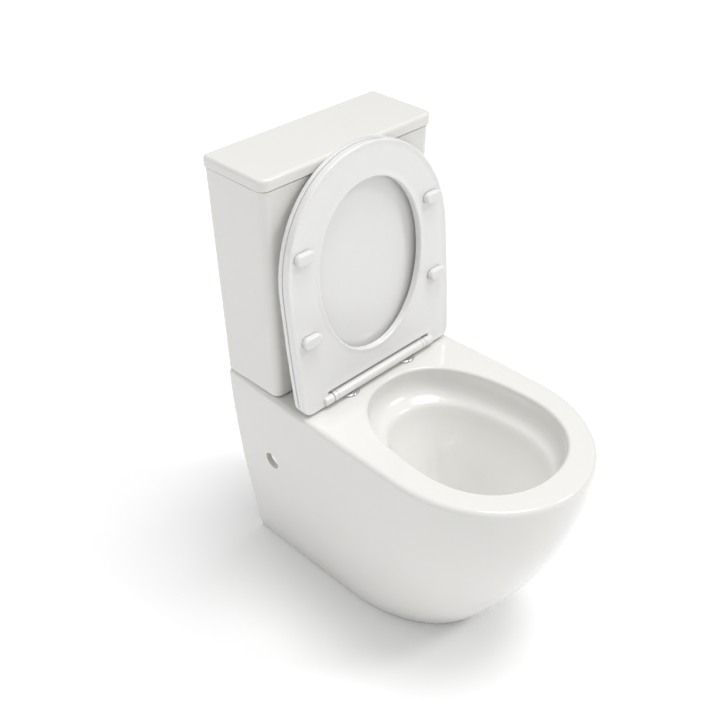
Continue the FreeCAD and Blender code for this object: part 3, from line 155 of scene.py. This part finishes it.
def platedMetal(name, low, high, roughness, grain, depth):
    # plate or turned stock: bright, with faint polishing haze and fine marks
    material, tree, place = startMaterial(name)
    haze, tone = clouded(tree, place, polishing["haze"], low, high)
    marks = addNode(tree, "ShaderNodeTexNoise", {"Scale": perMetre(grain), "Detail": 4.0},
                    {"Vector": place})
    rough = addNode(tree, "ShaderNodeMapRange",
                    {"To Min": roughness, "To Max": roughness + polishing["hazeRougher"]},
                    {"Value": haze})
    bump = addNode(tree, "ShaderNodeBump",
                   {"Distance": depth * mm, "Strength": polishing["markStrength"]},
                   {"Height": marks.outputs["Fac"]})
    shader = addNode(tree, "ShaderNodeBsdfPrincipled", {"Metallic": 1.0},
                     {"Base Color": tone, "Roughness": rough.outputs["Result"],
                      "Normal": bump.outputs["Normal"]})
    return finishMaterial(material, tree, shader)


# each row: name, two tones, roughness, grain and its depth in mm, then coat and cloud size;
# the grains are drawn coarser than the real tool marks, so that they show
plastics = {
    # urea resin pressed in a polished tool: hard, bright and even, almost like the glaze
    "duroplast": ("polishedDuroplast", "#EEEDEC", "#F0F0EF", 0.15, 4.0, 0.006, 0.4, 60.0),
    # moulded nylon: a softer sheen than the seat beside it
    "bar_plastic": ("mouldedPolyamideBar", "#EDECEA", "#F0EFED", 0.22, 1.2, 0.006, 0.1),
    # thermoplastic elastomer: satin, so the pads read as soft
    "buffer": ("whiteElastomerBuffer", "#EAEAE8", "#EFEEEC", 0.38, 0.8, 0.012),
    # moulded sheet rubber: near black and dull, with a fine spark-eroded tooth
    "rubber": ("blackEpdmRubber", "#1A1A1B", "#262627", 0.62, 0.7, 0.03),
    # pressed silicone: brick red with a greasy satin
    "silicone": ("redSiliconeSeal", "#A8472A", "#BC5735", 0.42, 1.0, 0.015),
    # acetal and ABS fittings: plain satin mouldings
    "fitting_white": ("whiteAcetalFitting", "#DADAD6", "#E4E4E0", 0.35, 0.9, 0.012),
    "fitting_grey": ("greyAbsFitting", "#5C5E61", "#686A6D", 0.38, 0.9, 0.012),
    "fitting_blue": ("blueAbsFitting", "#2E5480", "#38618F", 0.36, 0.9, 0.012),
    # extruded soft PVC: milky, with a slight gloss
    "tube": ("softPvcTube", "#CFD2D1", "#DADCDB", 0.30, 1.5, 0.008, 0.2),
}
metals = {
    # bright chrome over a polished casting: a clear mirror with a trace of haze
    "chrome": ("brightChromePlate", "#D8DADC", "#E2E4E6", 0.04, 2.0, 0.002),
    # bright rolled stainless steel: a grey satin mirror
    "steel": ("brightStainlessSteel", "#A9ABAD", "#B9BBBD", 0.24, 0.6, 0.006),
    # brass bolts as turned: warm, with fine tool marks
    "brass": ("turnedBrass", "#B8964E", "#CDAE68", 0.22, 0.6, 0.006),
}
finishes = {"china": glazedVitreousChina()}
finishes.update({slot: mouldedPlastic(*row) for slot, row in plastics.items()})
finishes.update({slot: platedMetal(*row) for slot, row in metals.items()})
print("materials ready:", len(finishes))


for name, node in nodes.items():
    own = node.data.materials[0].name.split(".")[0]
    node.data.materials.clear()
    node.data.materials.append(finishes[own])
print("carried-over solids have their finishes")


def smooth(t):
    t = min(max(t, 0.0), 1.0)
    return t * t * (3 - 2 * t)


def bezierAt(poles, t):
    points = [Vector(p) for p in poles]
    while len(points) > 1:
        points = [a.lerp(b, t) for a, b in zip(points, points[1:])]
    return points[0]


def run(poles, spacing):
    # points along a Bezier of any degree, without its end
    steps = 24  # for its length
    probes = [bezierAt(poles, i / steps) for i in range(steps + 1)]
    length = sum((b - a).length for a, b in zip(probes, probes[1:]))
    count = max(2, round(length / spacing))
    return [bezierAt(poles, i / count) for i in range(count)]


def quarter(start, corner, end, fullness):
    # poles of a quarter turn; a fuller one reaches nearer to the corner
    start, corner, end = Vector(start), Vector(corner), Vector(end)
    return [start, start.lerp(corner, fullness), end.lerp(corner, fullness), end]


def counterClockwise(loop):
    area = sum(a.x * b.y - b.x * a.y for a, b in zip(loop, loop[1:] + loop[:1]))
    return loop if area > 0 else loop[::-1]


def inwardNormals(loop):
    # for a counter-clockwise loop
    count = len(loop)
    out = []
    for i in range(count):
        along = (loop[(i + 1) % count] - loop[i - 1]).normalized()
        out.append(Vector((-along.y, along.x)))
    return out


def insideOf(points, loop):
    # which of the points lie inside the loop
    xy = np.array([(p[0], p[1]) for p in points])
    ring = np.array([(p.x, p.y) for p in loop])
    nxt = np.roll(ring, -1, axis=0)
    x, y = xy[:, :1], xy[:, 1:]
    spans = (ring[:, 1] > y) != (nxt[:, 1] > y)
    rise = np.where(nxt[:, 1] == ring[:, 1], 1e-12, nxt[:, 1] - ring[:, 1])
    cross = ring[:, 0] + (y - ring[:, 1]) * (nxt[:, 0] - ring[:, 0]) / rise
    return (np.count_nonzero(spans & (x < cross), axis=1) % 2).astype(bool)


def treeOf(points):
    tree = kdtree.KDTree(len(points))
    for i, p in enumerate(points):
        tree.insert((p[0], p[1], 0), i)
    tree.balance()
    return tree


def addRings(bm, rings, around=True):
    # quads between rings of equally many points
    made = [[bm.verts.new(p) for p in ring] for ring in rings]
    count = len(rings[0])
    for low, high in zip(made, made[1:]):
        for i in range(count if around else count - 1):
            j = (i + 1) % count
            bm.faces.new((low[i], low[j], high[j], high[i]))
    return made


def fillFlat(bm, loops, spacing, heightAt, up=True):
    # triangles inside the first loop and outside the others, on a fine grid
    border = [p for loop in loops for p in loop]
    edges, start = [], 0
    for loop in loops:
        count = len(loop)
        edges += [(start + i, start + (i + 1) % count) for i in range(count)]
        start += count
    near = treeOf(border)
    xs, ys = [p.x for p in border], [p.y for p in border]
    rowGap, clearOfBorder = spacing * 0.87, spacing * 0.6  # rows of even triangles
    grid = []
    for row in range(int((max(ys) - min(ys)) / rowGap) + 1):
        y = min(ys) + row * rowGap
        for column in range(int((max(xs) - min(xs)) / spacing) + 2):
            x = min(xs) + (column - 0.5 * (row % 2)) * spacing
            if near.find((x, y, 0))[2] > clearOfBorder:
                grid.append((x, y))
    inside = insideOf(grid, loops[0])
    for loop in loops[1:]:
        inside &= ~insideOf(grid, loop)
    points = [Vector((p.x, p.y)) for p in border]
    points += [Vector(p) for p, keep in zip(grid, inside) if keep]
    verts, _, faces, *_ = geometry.delaunay_2d_cdt(points, edges, [], 0, 1e-6)
    middles = [sum((verts[i] for i in f), Vector((0, 0))) / len(f) for f in faces]
    kept = insideOf(middles, loops[0])
    for loop in loops[1:]:
        kept &= ~insideOf(middles, loop)
    made = [bm.verts.new((v.x, v.y, heightAt(v))) for v in verts]
    for face, keep in zip(faces, kept):
        if keep:
            corners = [made[i] for i in face]
            bm.faces.new(corners if up else corners[::-1])


def turn(bm, outline, matrix=Matrix(), segments=64):
    # a round form from (radius, height) points about Z
    rings = [[matrix @ Vector((r * math.cos(a), r * math.sin(a), z))
              for a in (2 * math.pi * i / segments for i in range(segments))]
             for r, z in outline if r > 0]
    made = addRings(bm, rings)
    for ring, (r, z) in ((made[0], outline[0]), (made[-1], outline[-1])):
        if r == 0:
            tip = bm.verts.new(matrix @ Vector((0, 0, z)))
            for i in range(segments):
                bm.faces.new((ring[i], ring[(i + 1) % segments], tip))


def rounded(points, radius, steps=6):
    # an open outline of (radius, height) points, its inner corners rounded
    out = [points[0]]
    for before, corner, after in zip(points, points[1:], points[2:]):
        a, c, b = Vector(before), Vector(corner), Vector(after)
        reach = min(radius, (a - c).length * 0.49, (b - c).length * 0.49)
        start, end = c + (a - c).normalized() * reach, c + (b - c).normalized() * reach
        out += [tuple(bezierAt([start, c, end], i / steps)) for i in range(steps + 1)]
    return out + [points[-1]]


weld = 1e-4  # mm


def finishPiece(name, bm, slot, body, replaced=(), matrix=Matrix()):
    # welds, faces outwards, scales to metres, and hangs the piece on its body
    bmesh.ops.remove_doubles(bm, verts=bm.verts[:], dist=weld)
    bmesh.ops.dissolve_degenerate(bm, edges=bm.edges[:], dist=weld)
    loose = [v for v in bm.verts if not v.link_faces]
    bmesh.ops.delete(bm, geom=loose, context="VERTS")
    bmesh.ops.recalc_face_normals(bm, faces=bm.faces[:])
    bmesh.ops.transform(bm, matrix=Matrix.Scale(mm, 4) @ matrix, verts=bm.verts[:])
    mesh = bpy.data.meshes.new(name)
    bm.to_mesh(mesh)
    bm.free()
    mesh.shade_smooth()
    piece = bpy.data.objects.new(name, mesh)
    bpy.context.scene.collection.objects.link(piece)
    mesh.materials.append(finishes[slot])
    even = piece.modifiers.new("evenNormals", "WEIGHTED_NORMAL")
    even.keep_sharp = True
    even.weight = 60  # the large flats win over the small rounds
    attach(piece, body)
    if replaced:
        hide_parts(*replaced)
    return piece


hinge = {"y": 105.5, "z": 413.5, "lean": 5.5}  # pin line, and degrees past upright
swing = Matrix.Translation((0, hinge["y"], hinge["z"])) @ Matrix.Rotation(
    -math.radians(90 + hinge["lean"]), 4, "X")  # from closed, about the hinge, to raised

seat = {
    "under": -3.2, "thick": 13.0,       # from the hinge axis, closed
    "rearHalf": 171.0, "half": 176.0, "widest": 201.5, "front": 394.5, "rear": 9.5, "corner": 17.0,
    "hole": (50.0, 338.5, 112.0),        # rear, front, half width
    "notch": (119.0, 15.0),              # half width, reach
    "edge": 3.0, "rearEdge": 8.0, "notchEdge": 1.0, "topEdge": 1.2,  # edge roundings
    "notchBlend": 12.0, "rearBlend": (-6.0, 15.0),  # over which they change: length; start, length
    "bead": 3.4, "slope": 5.0, "dish": 1.2,  # raised bead along both rims, then a soft fall
    "dishFromNotch": (1.0, 10.0),        # start and length of that fall at the notch
    "lipEdge": 2.6,                      # rounding of the opening's lip, seen when raised
    "knuckle": (9.0, 109.0, 129.0), "knuckleRound": 4.0,  # radius, inner and outer end
    "bevel": 2.0,                        # at the notch's corners, seen from above
    "spacing": 3.0, "fineSpacing": 0.7,  # of points along the outlines
    "underGrid": 3.5, "topGrid": 8.0,    # of the flats
}
cornerFullness, noseFullness = 0.5523, 0.57  # a true quarter circle, and the fuller nose and hole


def seatOutline(grow, rear, corner, spacing, notch=None):
    # closed seat seen from above, about the hinge axis
    rearHalf, half = seat["rearHalf"] + grow, seat["half"] + grow
    wide, nose = -seat["widest"], -seat["front"] - grow
    lean = (half - rearHalf) * corner / seat["widest"]
    right = []
    if notch:
        across, reach = notch
        bevel, fine = seat["bevel"], seat["fineSpacing"]
        right += run([(0, -reach), (across - bevel, -reach)], spacing)
        right += run([(across - bevel, -reach), (across, -reach), (across, -reach + bevel)], fine)
        right += run([(across, -reach + bevel), (across, rear - bevel)], spacing)
        right += run([(across, rear - bevel), (across, rear), (across + bevel, rear)], fine)
        right += run([(across + bevel, rear), (rearHalf - corner, rear)], spacing)
    else:
        right += run([(0, rear), (rearHalf - corner, rear)], spacing)
    side = (rearHalf + lean, rear - corner)
    right += run(quarter((rearHalf - corner, rear), (rearHalf, rear), side, cornerFullness),
                 spacing / 2)
    right += run([side, (half, (rear + wide) / 2), (half, wide)], spacing)
    right += run(quarter((half, wide), (half, nose), (0, nose), noseFullness), spacing)
    left = [Vector((-p.x, p.y)) for p in right[:0:-1]]
    return counterClockwise(right + [Vector((0, nose))] + left)


def seatHole(spacing):
    rear, front, half = seat["hole"]
    middle = seat["widest"]
    right = run(quarter((0, -rear), (half, -rear), (half, -middle), noseFullness), spacing)
    right += run(quarter((half, -middle), (half, -front), (0, -front), noseFullness), spacing)
    left = [Vector((-p.x, p.y)) for p in right[:0:-1]]
    return counterClockwise(right + [Vector((0, -front))] + left)


def edgeRings(loop, normals, lower, upper, low, high, steps=5):
    # rings from the lower flat, over both rounded edges, to the upper flat
    rings = []
    for i in range(steps + 1):
        a = math.pi / 2 * i / steps
        away, along = 1 - math.sin(a), 1 - math.cos(a)
        rings.append([(p + n * r * away).to_3d() + Vector((0, 0, low + r * along))
                      for p, n, r in zip(loop, normals, lower)])
    for i in range(steps + 1):
        a = math.pi / 2 * i / steps
        away, along = 1 - math.cos(a), 1 - math.sin(a)
        rings.append([(p + n * r * away).to_3d() + Vector((0, 0, high - r * along))
                      for p, n, r in zip(loop, normals, upper)])
    return rings


def flatLoop(ring):
    return [Vector((p.x, p.y)) for p in ring]


def makeSeat():
    low, high = seat["under"], seat["under"] + seat["thick"]
    across, reach = seat["notch"]
    outer = seatOutline(0, seat["rear"], seat["corner"], seat["spacing"], seat["notch"])
    hole = seatHole(seat["spacing"])
    outerIn, holeIn = inwardNormals(outer), [-n for n in inwardNormals(hole)]
    slack = 0.5
    inNotch = [abs(p.x) < across + slack and p.y > -reach - slack for p in outer]
    blend, (rearStart, rearLength) = seat["notchBlend"], seat["rearBlend"]
    lower = [seat["notchEdge"] if flag else
             seat["notchEdge"] + (seat["edge"] - seat["notchEdge"]) *
             (smooth((abs(p.x) - across) / blend) if p.y > 0 else 1.0)
             for p, flag in zip(outer, inNotch)]
    upper = [seat["topEdge"] if flag else
             seat["topEdge"] + (seat["rearEdge"] - seat["topEdge"]) *
             smooth((p.y - rearStart) / rearLength) * smooth((abs(p.x) - across) / blend)
             for p, flag in zip(outer, inNotch)]
    bm = bmesh.new()
    outerRings = edgeRings(outer, outerIn, lower, upper, low, high)
    holeRings = edgeRings(hole, holeIn, [seat["lipEdge"]] * len(hole),
                          [seat["edge"]] * len(hole), low, high)
    addRings(bm, outerRings)
    addRings(bm, holeRings)
    rim = [p for p, flag in zip(outer, inNotch) if not flag] + hole
    near = treeOf(rim)

    def underside(p):
        away = near.find((p.x, p.y, 0))[2] - seat["bead"]
        notchAway = max(abs(p.x) - across, -reach - p.y)
        start, length = seat["dishFromNotch"]
        return low + seat["dish"] * smooth(away / seat["slope"]) * \
            smooth((notchAway - start) / length)

    fillFlat(bm, [flatLoop(outerRings[0]), flatLoop(holeRings[0])], seat["underGrid"],
             underside, up=False)
    fillFlat(bm, [flatLoop(outerRings[-1]), flatLoop(holeRings[-1])], seat["topGrid"],
             lambda p: high)
    radius, start, end = seat["knuckle"]
    for side in (-1, 1):  # the knuckles that turn on the bar's ends
        about = Matrix.Rotation(side * math.pi / 2, 4, "Y")
        turn(bm, rounded([(0, start), (radius, start), (radius, end), (0, end)],
                         seat["knuckleRound"]), about)
    return finishPiece("seat_ring_moulding", bm, "duroplast", "seat", ["seat_ring"], swing)


makeSeat()
print("seat made")


cover = {
    "low": 11.0, "thick": 10.0, "shell": 4.0, "rim": 10.0, "lap": 1.0, "rear": 6.5,
    "edge": 5.0, "lowerEdge": 1.2, "rimEdge": 1.0, "innerRear": -21.0, "fillet": 4.0,
    "crown": (0.5, 90.0),                                   # rise of the inside, and its reach
    "lug": (9.0, 100.9, 108.6), "arm": (-9.0, 6.5, 13.0),  # radius and ends; front, rear, height
    "lugRound": 0.7, "grid": 6.0,
}


def makeCover():
    low, high = cover["low"], cover["low"] + cover["thick"]
    ceiling = high - cover["shell"]
    outer = seatOutline(cover["lap"], cover["rear"], seat["corner"], seat["spacing"])
    inner = seatOutline(cover["lap"] - cover["rim"], cover["innerRear"], seat["corner"],
                        seat["spacing"])
    outerIn, innerOut = inwardNormals(outer), [-n for n in inwardNormals(inner)]
    bm = bmesh.new()
    count = len(outer)
    outerRings = edgeRings(outer, outerIn, [cover["lowerEdge"]] * count, [cover["edge"]] * count,
                           low, high, 7)
    addRings(bm, outerRings)
    # recess wall: a small round at the rim, a soft fillet at the panel
    rings = []
    steps, r = 5, cover["rimEdge"]
    for i in range(steps + 1):
        a = math.pi / 2 * i / steps
        away, along = r * (1 - math.sin(a)), r * (1 - math.cos(a))
        rings.append([(p + n * away).to_3d() + Vector((0, 0, low + along))
                      for p, n in zip(inner, innerOut)])
    steps, r = 6, cover["fillet"]
    for i in range(steps + 1):
        a = math.pi / 2 * i / steps
        away, along = r * (1 - math.cos(a)), r * (1 - math.sin(a))
        rings.append([(p - n * away).to_3d() + Vector((0, 0, ceiling - along))
                      for p, n in zip(inner, innerOut)])
    addRings(bm, rings)
    grid, (crown, crownReach) = cover["grid"], cover["crown"]
    fillFlat(bm, [flatLoop(outerRings[0]), flatLoop(rings[0])], grid, lambda p: low, up=False)
    panelRim = flatLoop(rings[-1])
    near = treeOf(panelRim)
    fillFlat(bm, [panelRim], grid,
             lambda p: ceiling - crown * smooth(near.find((p.x, p.y, 0))[2] / crownReach), up=False)
    fillFlat(bm, [flatLoop(outerRings[-1])], grid, lambda p: high)
    # lugs that reach down to the hinge pin, beside the bar
    radius, start, end = cover["lug"]
    front, rear, height = cover["arm"]
    edge = cover["lugRound"]
    for side in (-1, 1):
        about = Matrix.Rotation(side * math.pi / 2, 4, "Y")
        turn(bm, rounded([(0, start), (radius, start), (radius, end), (0, end)], edge), about)
        arm = bmesh.ops.create_cube(bm, size=1, matrix=Matrix.Translation(
            (side * (start + end) / 2, (front + rear) / 2, height / 2)) @ Matrix.Diagonal(
            (end - start, rear - front, height, 1)))
        edges = list({e for v in arm["verts"] for e in v.link_edges})
        bmesh.ops.bevel(bm, geom=edges, offset=edge, segments=3, affect="EDGES", profile=0.5)
    return finishPiece("seat_cover_moulding", bm, "duroplast", "cover", ["seat_cover"], swing)


makeCover()
print("cover made")


buffers = {
    "length": 36.0, "width": 19.0, "height": 10.0, "round": 3.2, "root": 2.0,
    "groove": (2.6, 0.5, 0.7, 0.3),  # where it starts below the seat, depth, width, its slopes
    "places": [(140.0, 262.5), (143.0, 123.5)],  # from the middle, and from the hinge
    "segments": 48, "roundSteps": 7,
}


def makeBuffers():
    bm = bmesh.new()
    half, straight = buffers["width"] / 2, (buffers["length"] - buffers["width"]) / 2
    base = seat["under"] + buffers["root"]
    free = seat["under"] - buffers["height"]
    fromSeat, depth, wide, slope = buffers["groove"]
    top = seat["under"] - fromSeat
    # (inset, height) points from inside the seat down to the free face
    profile = [(0, base), (0, top + slope), (depth, top), (depth, top - wide),
               (0, top - wide - slope)]
    r, steps = buffers["round"], buffers["roundSteps"]
    profile += [(r * (1 - math.cos(a)), free + r * (1 - math.sin(a)))
                for a in (math.pi / 2 * i / steps for i in range(steps + 1))]
    profile += [(half * 0.6, free), (half * 0.9, free)]  # rings on the flat face
    for across, along in buffers["places"]:
        for side in (-1, 1):
            rings = []
            for inset, height in profile:
                ring = []
                for i in range(buffers["segments"]):
                    a = 2 * math.pi * (i + 0.5) / buffers["segments"]
                    shift = straight if math.cos(a) > 0 else -straight
                    ring.append(Vector((side * across + shift + (half - inset) * math.cos(a),
                                        -along + (half - inset) * math.sin(a), height)))
                rings.append(ring)
            made = addRings(bm, rings)
            bm.faces.new(made[-1])
            bm.faces.new(made[0])
    return finishPiece("seat_buffer_pads", bm, "buffer", "seat", ["seat_buffers"], swing)


makeBuffers()
print("buffers made")


bar = {"radius": 9.0, "half": 100.5, "edge": 0.8}
post = {
    "across": 67.0, "y": 113.0, "foot": 401.0, "disc": 20.0, "thick": 3.3,
    "discSide": 0.9, "shoulder": (2.6, 1.9), "fall": 0.15,  # its straight side, round and dome
    "stem": 5.0, "stemBack": 6.0, "stemTop": 408.0, "stemFoot": 402.0, "stemRound": 0.5,
}


def makeBar():
    bm = bmesh.new()
    half, radius = bar["half"], bar["radius"]
    outline = rounded([(0, -half), (radius, -half), (radius, half), (0, half)], bar["edge"], 4)
    turn(bm, outline, Matrix.Translation((0, hinge["y"], hinge["z"])) @
         Matrix.Rotation(math.pi / 2, 4, "Y"), 96)
    return finishPiece("hinge_bar_tube", bm, "bar_plastic", "pan_and_cistern", ["hinge_bar"])


def makePosts():
    bm = bmesh.new()
    foot, top, disc = post["foot"], post["foot"] + post["thick"], post["disc"]
    side = foot + post["discSide"]
    (inward, upward), steps = post["shoulder"], 6
    dome = [(0, foot), (disc, foot), (disc, side)]
    dome += [(disc - inward * (1 - math.cos(a)), side + upward * math.sin(a))
             for a in (math.pi / 2 * i / steps for i in range(1, steps + 1))]
    dome += [(disc * 0.6, top - post["fall"]), (disc * 0.3, top), (0, top)]
    stem = [(0, post["stemFoot"]), (post["stem"], post["stemFoot"]),
            (post["stem"], post["stemTop"]), (0, post["stemTop"])]
    for hand in (-1, 1):
        turn(bm, dome, Matrix.Translation((hand * post["across"], post["y"], 0)), 96)
        turn(bm, rounded(stem, post["stemRound"], 3),
             Matrix.Translation((hand * post["across"], post["y"] - post["stemBack"], 0)), 48)
    return finishPiece("hinge_post_discs", bm, "chrome", "pan_and_cistern", ["hinge_posts"])


makeBar()
makePosts()
print("hinge made")


studio = {
    "floor": "#FFFFFF", "half": 12.0, "drop": 0.0005,  # metres; just under the feet
    "tooth": 6.0, "toothDepth": 0.02,                  # mm, drawn coarser than paper fibre
    "topLight": {"from": (0.15, -0.13, 1.0), "spread": 22, "strength": 1.0},
    "sideLight": {"from": (0.50, -0.52, 0.70), "spread": 12, "strength": 0.55},
    "paper": "#FFFFFF",   # what shows behind the floor
    "sky": (0.18, 0.97),  # light from the horizon and from overhead
}


def softFloorPaper():
    # matt seamless paper: no gloss, a hardly visible tooth
    material, tree, place = startMaterial("softFloorPaper")
    tooth = addNode(tree, "ShaderNodeTexNoise",
                    {"Scale": perMetre(studio["tooth"]), "Detail": 2.0}, {"Vector": place})
    bump = addNode(tree, "ShaderNodeBump",
                   {"Distance": studio["toothDepth"] * mm, "Strength": 0.3},
                   {"Height": tooth.outputs["Fac"]})
    shader = addNode(tree, "ShaderNodeBsdfPrincipled", {
        "Base Color": toLinear(studio["floor"]), "Roughness": 0.9, "Specular IOR Level": 0.1},
        {"Normal": bump.outputs["Normal"]})
    return finishMaterial(material, tree, shader)


def makeFloor():
    bm = bmesh.new()
    bmesh.ops.create_grid(bm, x_segments=8, y_segments=8, size=studio["half"])
    mesh = bpy.data.meshes.new("floor")
    bm.to_mesh(mesh)
    bm.free()
    floor = bpy.data.objects.new("floor", mesh)
    floor.location = (0, 0, -studio["drop"])
    mesh.materials.append(softFloorPaper())
    bpy.context.scene.collection.objects.link(floor)


def makeSky():
    world = bpy.data.worlds.new("studioSky")
    world.use_nodes = True
    world.node_tree.nodes.clear()
    tree = world.node_tree
    # a big soft box overhead: the light falls off from straight up to the horizon
    direction = addNode(tree, "ShaderNodeTexCoord").outputs["Generated"]
    height = addNode(tree, "ShaderNodeSeparateXYZ", links={"Vector": direction}).outputs["Z"]
    low, high = studio["sky"]
    strength = addNode(tree, "ShaderNodeMapRange", {"To Min": low, "To Max": high},
                       {"Value": height})
    sky = addNode(tree, "ShaderNodeBackground", {"Color": toLinear(studio["paper"])},
                  {"Strength": strength.outputs["Result"]})
    behind = addNode(tree, "ShaderNodeBackground",
                     {"Color": toLinear(studio["paper"]), "Strength": 1.0})
    path = addNode(tree, "ShaderNodeLightPath")
    seen = addNode(tree, "ShaderNodeMixShader", links={0: path.outputs["Is Camera Ray"],
                                                       1: sky.outputs["Background"],
                                                       2: behind.outputs["Background"]})
    addNode(tree, "ShaderNodeOutputWorld", links={"Surface": seen.outputs["Shader"]})
    bpy.context.scene.world = world


def makeLight(name):
    light = studio[name]
    data = bpy.data.lights.new(name, "SUN")
    data.angle = math.radians(light["spread"])
    data.energy = light["strength"]
    lamp = bpy.data.objects.new(name, data)
    lamp.rotation_euler = (-Vector(light["from"])).to_track_quat("-Z", "Y").to_euler()
    bpy.context.scene.collection.objects.link(lamp)


makeFloor()
makeLight("topLight")
makeLight("sideLight")
makeSky()
bpy.context.scene.view_settings.view_transform = "Standard"

view = {
    "at": (-0.999, -0.8475, 1.4262), "turn": (54.21, 0.10, -45.09),  # metres, degrees
    "lens": 51.0, "sensor": 36.0, "clip": (0.01, 60),
}


def makeCamera():
    data = bpy.data.cameras.new("camera")
    data.lens = view["lens"]
    data.sensor_width = view["sensor"]
    data.clip_start, data.clip_end = view["clip"]
    camera = bpy.data.objects.new("camera", data)
    camera.location = view["at"]
    camera.rotation_euler = [math.radians(a) for a in view["turn"]]
    bpy.context.scene.collection.objects.link(camera)
    bpy.context.scene.camera = camera


makeCamera()
print("studio ready")
